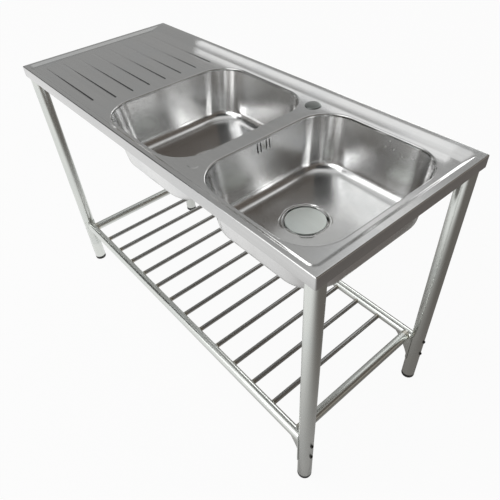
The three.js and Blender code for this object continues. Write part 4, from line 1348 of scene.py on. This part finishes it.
class SINK_OT_overflow_screw(bpy.types.Operator):
    """Set the screw between the overflow slots"""

    bl_idname = "sink_unit.overflow_screw"
    bl_label = "Overflow Screw"

    def execute(self, context):
        bowl = context.scene.sink_bowl
        radius = (high("overflow_screw").y - low("overflow_screw").y) / 2
        lean = Vector((math.cos(bowl.draft), 0, math.sin(bowl.draft)))
        z = field_height() - bowl.slot_drop
        drop = high("bowl_right").z - bowl.bend - z
        x = BOWL["right"].x - bowl.long / 2 - bowl.setback + drop * math.tan(bowl.draft)
        seat = Vector((x, middle("overflow_screw").y, z)) + lean * OVERFLOW_LIFT
        head = cross_head(radius, OVERFLOW_RISE, "overflow_screw_part")
        scattered("overflow_screw_head", [(seat, lean)], head, "Polished Waste",
                  ["overflow_screw"], seed=1)
        return {"FINISHED"}


# ---------------------------------------------------------------- legs and rack

EDGE_EASE, BRACKET_EASE = 0.3 * MM, 0.35 * MM
FOOT_HOLLOW, HOLLOW_INNER, HOLLOW_OUTER = 1.2 * MM, 8 * MM, 9.5 * MM
SADDLE_STEPS, GUSSET_STEPS = 28, 24
# How far from the gusset's tip its curve is pulled, in shares of its length.
GUSSET_PULL = 0.62
SLAT_RIPPLES, RAIL_RIPPLES, GUSSET_RIPPLES = 18, 36, 30
# Radius and height round one ripple of a weld, in shares of its size.
RIPPLE = ((0, -0.35), (0.8, -0.2), (1, 0.15), (0.65, 0.5), (0, 0.62))
# How much a ripple leans along the tube that it joins.
WELD_LEAN = 0.8


class SINK_OT_legs(bpy.types.Operator):
    """Make the four round legs and their moulded foot caps"""

    bl_idname = "sink_unit.legs"
    bl_label = "Legs and Feet"

    def execute(self, context):
        stand = context.scene.sink_stand
        outer, inner = stand.leg, stand.leg - stand.leg_wall
        for corner in CORNERS:
            foot, top, _ = extent(f"leg_{corner}")
            tube = [(outer, foot), (outer, top), (inner, top), (inner, foot)]
            turned_piece(f"leg_tube_{corner}", [(*spot, EDGE_EASE) for spot in tube], LEG[corner],
                         "Leg Tube", "stand", f"leg_{corner}", steps=2)
            floor, stem_top, _ = extent(f"foot_{corner}")
            shoulder, stem = foot - stand.seat, inner - stand.seat
            cap = [
                (0, floor + FOOT_HOLLOW, 0), (HOLLOW_INNER, floor + FOOT_HOLLOW, 0.5 * MM),
                (HOLLOW_OUTER, floor, 0.5 * MM), (outer, floor, 1.3 * MM),
                (outer, shoulder, 0.3 * MM), (stem, shoulder, 0.2 * MM),
                (stem, stem_top, 1.5 * MM), (0, stem_top, 0),
            ]
            turned_piece(f"foot_cap_{corner}", cap, LEG[corner], "Foot Plastic",
                         "stand", f"foot_{corner}")
        return {"FINISHED"}


def rail_tube(name, node, surface, x, y, along, reach):
    """One rail of the rack with coped ends in place of its node."""
    stand = bpy.context.scene.sink_stand
    solid = coped_tube(Vector((x, y, RACK_Z)), along, stand.rail, stand.leg_wall, reach)
    dress(solid_object(name, solid), surface, "stand", [node])


class SINK_OT_rails(bpy.types.Operator):
    """Make the rack's two long rails and its two end rails, with coped ends"""

    bl_idname = "sink_unit.rails"
    bl_label = "Rack Rails"

    def execute(self, context):
        stand = context.scene.sink_stand
        saddle, rail = stand.leg + stand.saddle + 3 * stand.seat, stand.rail + stand.seat
        for depth, y in (("front", -RAIL_Y), ("back", RAIL_Y)):
            rail_tube(f"long_rail_{depth}", f"rack_{depth}_rail", "Rail Tube", 0, y,
                      Vector((1, 0, 0)),
                      lambda across, up: LEG["back_right"].x - math.sqrt(saddle**2 - across**2))
        for side in LEFT_RIGHT:
            node = f"rack_{side}_rail"
            rail_tube(f"end_rail_{side}", node, "End Rail Tube", middle(node).x, 0,
                      Vector((0, 1, 0)), lambda across, up: RAIL_Y - math.sqrt(rail**2 - up**2))
        return {"FINISHED"}


class SINK_OT_slats(bpy.types.Operator):
    """Set out the rack's row of round slats"""

    bl_idname = "sink_unit.slats"
    bl_label = "Rack Slats"

    def execute(self, context):
        stand = context.scene.sink_stand
        first, last = middle(SLATS[0]).x, middle(SLATS[-1]).x
        row = new_object("rack_slat_row", bpy.data.meshes.new("rack_slat_row"))
        run_tree(row, slat_row(), Count=len(SLATS), First=(first, 0, RACK_Z),
                 Pitch=(last - first) / (len(SLATS) - 1), Radius=stand.slat,
                 Rail_Radius=stand.rail + stand.seat, Rail_Distance=RAIL_Y,
                 Finish=bpy.data.materials["Slat Tube"])
        dress(row, "Slat Tube", "stand", SLATS)
        return {"FINISHED"}


def inwards(corner):
    """Sign of the way from a leg towards the unit's middle."""
    return -1 if LEG[corner].x > 0 else 1


def bracket_shape(stand, corner):
    """Saddle plate round a leg with the curved gusset that carries the rail's end."""
    leg, way = LEG[corner], inwards(corner)
    foot, top, _ = extent(f"rack_bracket_{corner}")
    inner = stand.leg + stand.seat
    outer = inner + stand.saddle
    angles = [stand.saddle_half * (2 * k / SADDLE_STEPS - 1) for k in range(SADDLE_STEPS + 1)]
    arc = [(outer * math.cos(a), outer * math.sin(a)) for a in angles]
    arc += [(inner * math.cos(a), inner * math.sin(a)) for a in reversed(angles)]
    half = (foot + top) / 2
    solid = bmesh.new()
    prism(solid, arc, top - foot, lambda a, b, c: Vector((leg.x + way * a, leg.y + b, half + c)))
    rail_foot = RACK_Z - stand.rail - stand.seat
    root, tip = outer - 0.4 * MM, outer + stand.gusset
    start, stop = Vector((tip, rail_foot - stand.gusset_toe)), Vector((outer + 2 * MM, foot))
    pull = Vector((tip - stand.gusset * GUSSET_PULL, (rail_foot + foot) / 2 + 6 * MM))
    plate = [(root, foot), (root, rail_foot), (tip, rail_foot)]
    plate += [tuple(point) for point in curve(start, pull, stop, GUSSET_STEPS)]
    prism(solid, plate, stand.gusset_sheet,
          lambda a, b, c: Vector((leg.x + way * a, leg.y + c, b)))
    return solid


class SINK_OT_brackets(bpy.types.Operator):
    """Bend the four saddles and cut their gussets"""

    bl_idname = "sink_unit.brackets"
    bl_label = "Rack Brackets"

    def execute(self, context):
        stand = context.scene.sink_stand
        for corner in CORNERS:
            piece = solid_object(f"saddle_bracket_{corner}", bracket_shape(stand, corner))
            soften_edges(piece, BRACKET_EASE)
            dress(piece, "Bracket Plate", "stand", [f"rack_bracket_{corner}"])
        return {"FINISHED"}


def weld_spots(stand):
    """Ripples where slats and end rails meet the long rails, and round the brackets."""
    spots = []
    tubes = [(middle(name).x, stand.slat, SLAT_RIPPLES) for name in SLATS]
    tubes += [(middle(f"rack_{side}_rail").x, stand.rail, RAIL_RIPPLES) for side in LEFT_RIGHT]
    for x, radius, ripples in tubes:
        for end in (-1, 1):
            for a, b in circle(ripples):
                lift = min(abs(radius * b), stand.rail * 0.995)
                y = RAIL_Y - math.sqrt(stand.rail**2 - lift**2)
                place = Vector((x + radius * a, end * y, RACK_Z + radius * b))
                spots.append((place, Vector((a, -end * WELD_LEAN, b)).normalized()))
    face = stand.leg + stand.seat + stand.saddle
    for corner in CORNERS:
        leg, way = LEG[corner], inwards(corner)
        foot, rail_foot = low(f"rack_bracket_{corner}").z, RACK_Z - stand.rail
        for side in (-1, 1):
            y = leg.y + side * stand.gusset_sheet / 2
            for k in range(1, GUSSET_RIPPLES):
                z = foot + (rail_foot - foot) * k / GUSSET_RIPPLES
                facing = Vector((way, side, 0)).normalized()
                spots.append((Vector((leg.x + way * face, y, z)), facing))
        for a, b in circle(RAIL_RIPPLES):
            x = leg.x + way * math.sqrt(face**2 - (stand.rail * a) ** 2)
            place = Vector((x, leg.y + stand.rail * a, RACK_Z + stand.rail * b))
            spots.append((place, Vector((way * WELD_LEAN, a, b)).normalized()))
    return spots


class SINK_OT_welds(bpy.types.Operator):
    """Lay the rippled weld seams of the rack"""

    bl_idname = "sink_unit.welds"
    bl_label = "Rack Welds"

    def execute(self, context):
        stand = context.scene.sink_stand
        profile = [(radius * stand.bead, height * stand.bead) for radius, height in RIPPLE]
        ripple = solid_object("weld_ripple", lathe(profile, sides=8))
        scattered("rack_weld_seams", weld_spots(stand), ripple, "Weld Bead", [],
                  seed=11, sizes=(0.85, 1.15), crease=80)
        return {"FINISHED"}


class SINK_OT_hidden_parts(bpy.types.Operator):
    """Finish the pieces that keep their own shape: sockets, channels, gaskets, overflow box"""

    bl_idname = "sink_unit.hidden_parts"
    bl_label = "Sockets, Channels and Gaskets"

    def execute(self, context):
        kept = [(f"leg_socket_{corner}", "Zinc Plate") for corner in CORNERS]
        kept += [(f"stiffener_{depth}", "Zinc Plate") for depth in ("front", "back")]
        kept += [(f"waste_gasket_{side}", "Gasket Rubber") for side in LEFT_RIGHT]
        kept += [("overflow_gasket", "Gasket Rubber"), ("overflow_box", "Waste Plastic")]
        for name, surface in kept:
            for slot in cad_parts[name].material_slots:
                slot.material = bpy.data.materials[surface]
        return {"FINISHED"}


# ---------------------------------------------------------------- studio

FLOOR_HALF = 12.0
# Share of the floor's own light in what the camera and metal see; the rest takes the shadow.
FLOOR_GLOW = 0.94
FLOOR_BRIGHT_AZIMUTH, SKY_LEFT_AZIMUTH, SKY_RIGHT_AZIMUTH, SKY_NEAR_AZIMUTH = -130, 178, 20, -105
SOFT_BOX = ((-1.6, -1.7, 2.93), (0, 0, 0.75), 2.2, 2.0)
# Each card's name, place, target, width and height.
STAGE_CARDS = (
    ("flag", (1.08, -0.8, 2.55), (0.2, 0, 0.7), 1.7, 1.35),
    ("front", (0.3, -2.0, 1.8), (0.3, 0, 0.7), 1.5, 1.1),
    ("side", (-1.8, -0.85, 2.05), (0.2, 0, 0.65), 1.7, 1.7),
    ("low", (-0.2, 1.5, 1.08), (-0.2, 0, 0.8), 1.2, 0.5),
    ("strip", (0.03, 0.275, 0.83), (0.03, 0.275, 0), 0.96, 0.04),
    ("window", (-0.1, 1.4, 2.4), (0.4, 0, 0.75), 0.85, 0.9),
)


def stage_object(name, corners, material):
    mesh = bpy.data.meshes.new(name)
    mesh.from_pydata(corners, [], [tuple(range(len(corners)))])
    mesh.materials.append(material)
    card = new_object(name, mesh)
    return card


def bare_tree(holder):
    """Empty node tree of a material or a world."""
    holder.use_nodes = True
    holder.node_tree.nodes.clear()
    return holder.node_tree


def towards(tree, vector, azimuth):
    """How much a vector points to an azimuth, from -1 to 1."""
    way = (math.cos(math.radians(azimuth)), math.sin(math.radians(azimuth)), 0)
    inputs = {0: vector, 1: way}
    return add(tree, "ShaderNodeVectorMath", inputs, operation="DOT_PRODUCT").outputs["Value"]


def facing_from(place, target):
    return (Vector(target) - Vector(place)).to_track_quat("-Z", "Y")


def stage_card(name, place, target, width, height, radiance):
    """Card that only the unit's metal mirrors."""
    material = bpy.data.materials.new(name)
    tree = bare_tree(material)
    glow = add(tree, "ShaderNodeEmission", {"Strength": radiance})
    add(tree, "ShaderNodeOutputMaterial", {"Surface": glow.outputs[0]})
    turned = facing_from(place, target).to_matrix()
    card = stage_object(name, [
        Vector(place) + turned @ Vector((x * width / 2, y * height / 2, 0))
        for x, y in ((-1, -1), (1, -1), (1, 1), (-1, 1))
    ], material)
    card.visible_camera = card.visible_diffuse = False
    card.visible_shadow = card.visible_transmission = False


def studio_floor(studio):
    """Pale floor, white to the camera but for the shadow and darker on the far right to metal."""
    material = bpy.data.materials.new("Studio Floor")
    tree = bare_tree(material)
    matt = add(tree, "ShaderNodeBsdfDiffuse", {"Color": (*studio.floor, 1)})
    path = add(tree, "ShaderNodeLightPath").outputs
    place = add(tree, "ShaderNodeNewGeometry").outputs["Position"]
    near = range_of(tree, towards(tree, place, FLOOR_BRIGHT_AZIMUTH), -1.0, 0.7)
    mirrored = mixed(tree, maths(tree, "POWER", near, 1.5), studio.shade, (1, 1, 1))
    shown = mixed(tree, path["Is Glossy Ray"], (1, 1, 1), mirrored)
    glow = add(tree, "ShaderNodeEmission", {"Color": shown})
    seen = maths(tree, "MAXIMUM", path["Is Camera Ray"], path["Is Glossy Ray"])
    seen = maths(tree, "MAXIMUM", seen, path["Is Transmission Ray"])
    seen = maths(tree, "MULTIPLY", seen, FLOOR_GLOW)
    blend = add(tree, "ShaderNodeMixShader", {0: seen, 1: matt.outputs[0], 2: glow.outputs[0]})
    add(tree, "ShaderNodeOutputMaterial", {"Surface": blend.outputs[0]})
    half = FLOOR_HALF
    stage_object(
        "studio_floor", [(-half, -half, 0), (half, -half, 0), (half, half, 0), (-half, half, 0)],
        material,
    )


def studio_sky(studio):
    """Light from all round, brightest on the near left; the camera sees white."""
    world = bpy.data.worlds.new("Studio Sky")
    bpy.context.scene.world = world
    tree = bare_tree(world)
    way = add(tree, "ShaderNodeTexCoord").outputs["Generated"]
    up = split(tree, way)["Z"]
    left = mixed(tree, range_of(tree, up, 0.3, 0.9), studio.sky_low, studio.sky_high)
    facing = towards(tree, way, SKY_LEFT_AZIMUTH)
    left = mixed(tree, range_of(tree, facing, 0.4, 0.75), left, studio.sky_left)
    right = mixed(tree, range_of(tree, up, 0.25, 0.5), studio.sky_warm, studio.sky_far)
    right = mixed(tree, range_of(tree, up, 0.85, 1.0), right, studio.sky_high)
    facing = towards(tree, way, SKY_RIGHT_AZIMUTH)
    level = mixed(tree, range_of(tree, facing, 0.1, 0.5), left, right)
    facing = towards(tree, way, SKY_NEAR_AZIMUTH)
    level = mixed(tree, range_of(tree, facing, 0.5, 0.75), level, studio.sky_near)
    seen = add(tree, "ShaderNodeLightPath").outputs["Is Camera Ray"]
    back = add(tree, "ShaderNodeBackground", {"Color": mixed(tree, seen, level, (1, 1, 1))})
    add(tree, "ShaderNodeOutputWorld", {"Surface": back.outputs[0]})


def soft_box(name, place, target, width, height, radiance):
    light = bpy.data.lights.new(name, "AREA")
    light.shape = "RECTANGLE"
    light.size, light.size_y = width, height
    light.energy = radiance * math.pi * width * height
    lamp = new_object(name, light)
    lamp.location = place
    lamp.rotation_euler = facing_from(place, target).to_euler()


def studio_camera(studio):
    eye = bpy.data.cameras.new("Camera")
    eye.lens = studio.lens
    camera = new_object("Camera", eye)
    forward = Vector((
        -math.sin(studio.azimuth) * math.cos(studio.elevation),
        math.cos(studio.azimuth) * math.cos(studio.elevation),
        -math.sin(studio.elevation),
    ))
    facing = forward.to_track_quat("-Z", "Y").to_matrix() @ Matrix.Rotation(studio.roll, 3, "Z")
    place = (studio.distance_x, -studio.distance_y, studio.distance_z)
    camera.matrix_world = Matrix.Translation(place) @ facing.to_4x4()
    bpy.context.scene.camera = camera


class SINK_OT_studio(bpy.types.Operator):
    """Set up the pale floor, the soft light and the camera"""

    bl_idname = "sink_unit.studio"
    bl_label = "Studio"

    def execute(self, context):
        studio = context.scene.sink_studio
        studio_camera(studio)
        studio_floor(studio)
        studio_sky(studio)
        soft_box("Soft Box", *SOFT_BOX, studio.key)
        for name, *placing in STAGE_CARDS:
            stage_card(f"stage_card_{name}", *placing, getattr(studio, name))
        context.scene.view_settings.view_transform = "Standard"
        return {"FINISHED"}


# ---------------------------------------------------------------- panel and registration

OPERATORS = (
    SINK_OT_finishes, SINK_OT_pressed_top, SINK_OT_bowls, SINK_OT_wastes, SINK_OT_strainers,
    SINK_OT_tap_cap, SINK_OT_overflow_screw, SINK_OT_legs, SINK_OT_rails, SINK_OT_slats,
    SINK_OT_brackets, SINK_OT_leg_screws, SINK_OT_welds, SINK_OT_hidden_parts, SINK_OT_studio,
)
GROUPS = {
    "sink_top": SinkTopSizes, "sink_bowl": SinkBowlSizes, "sink_waste": SinkWasteSizes,
    "sink_stand": SinkStandSizes, "sink_finishes": SinkFinishes, "sink_studio": SinkStudio,
}


class SINK_PT_unit(bpy.types.Panel):
    """Lists every piece of the sink unit"""

    bl_idname = "SINK_PT_unit"
    bl_label = "Sink Unit"
    bl_space_type = "VIEW_3D"
    bl_region_type = "UI"
    bl_category = "Sink Unit"

    def draw(self, context):
        for kind in OPERATORS:
            self.layout.operator(kind.bl_idname, text=kind.bl_label)
        for name, kind in GROUPS.items():
            box = self.layout.box()
            box.label(text=kind.__doc__)
            for label in kind.__annotations__:
                box.prop(getattr(context.scene, name), label)


def register():
    for kind in (*GROUPS.values(), *OPERATORS, SINK_PT_unit):
        bpy.utils.register_class(kind)
    for name, kind in GROUPS.items():
        setattr(bpy.types.Scene, name, PointerProperty(type=kind))


def unregister():
    for name in GROUPS:
        delattr(bpy.types.Scene, name)
    for kind in reversed((*GROUPS.values(), *OPERATORS, SINK_PT_unit)):
        bpy.utils.unregister_class(kind)


def main():
    register()
    for kind in OPERATORS:
        family, name = kind.bl_idname.split(".")
        getattr(getattr(bpy.ops, family), name)()


if __name__ == "__main__":
    main()
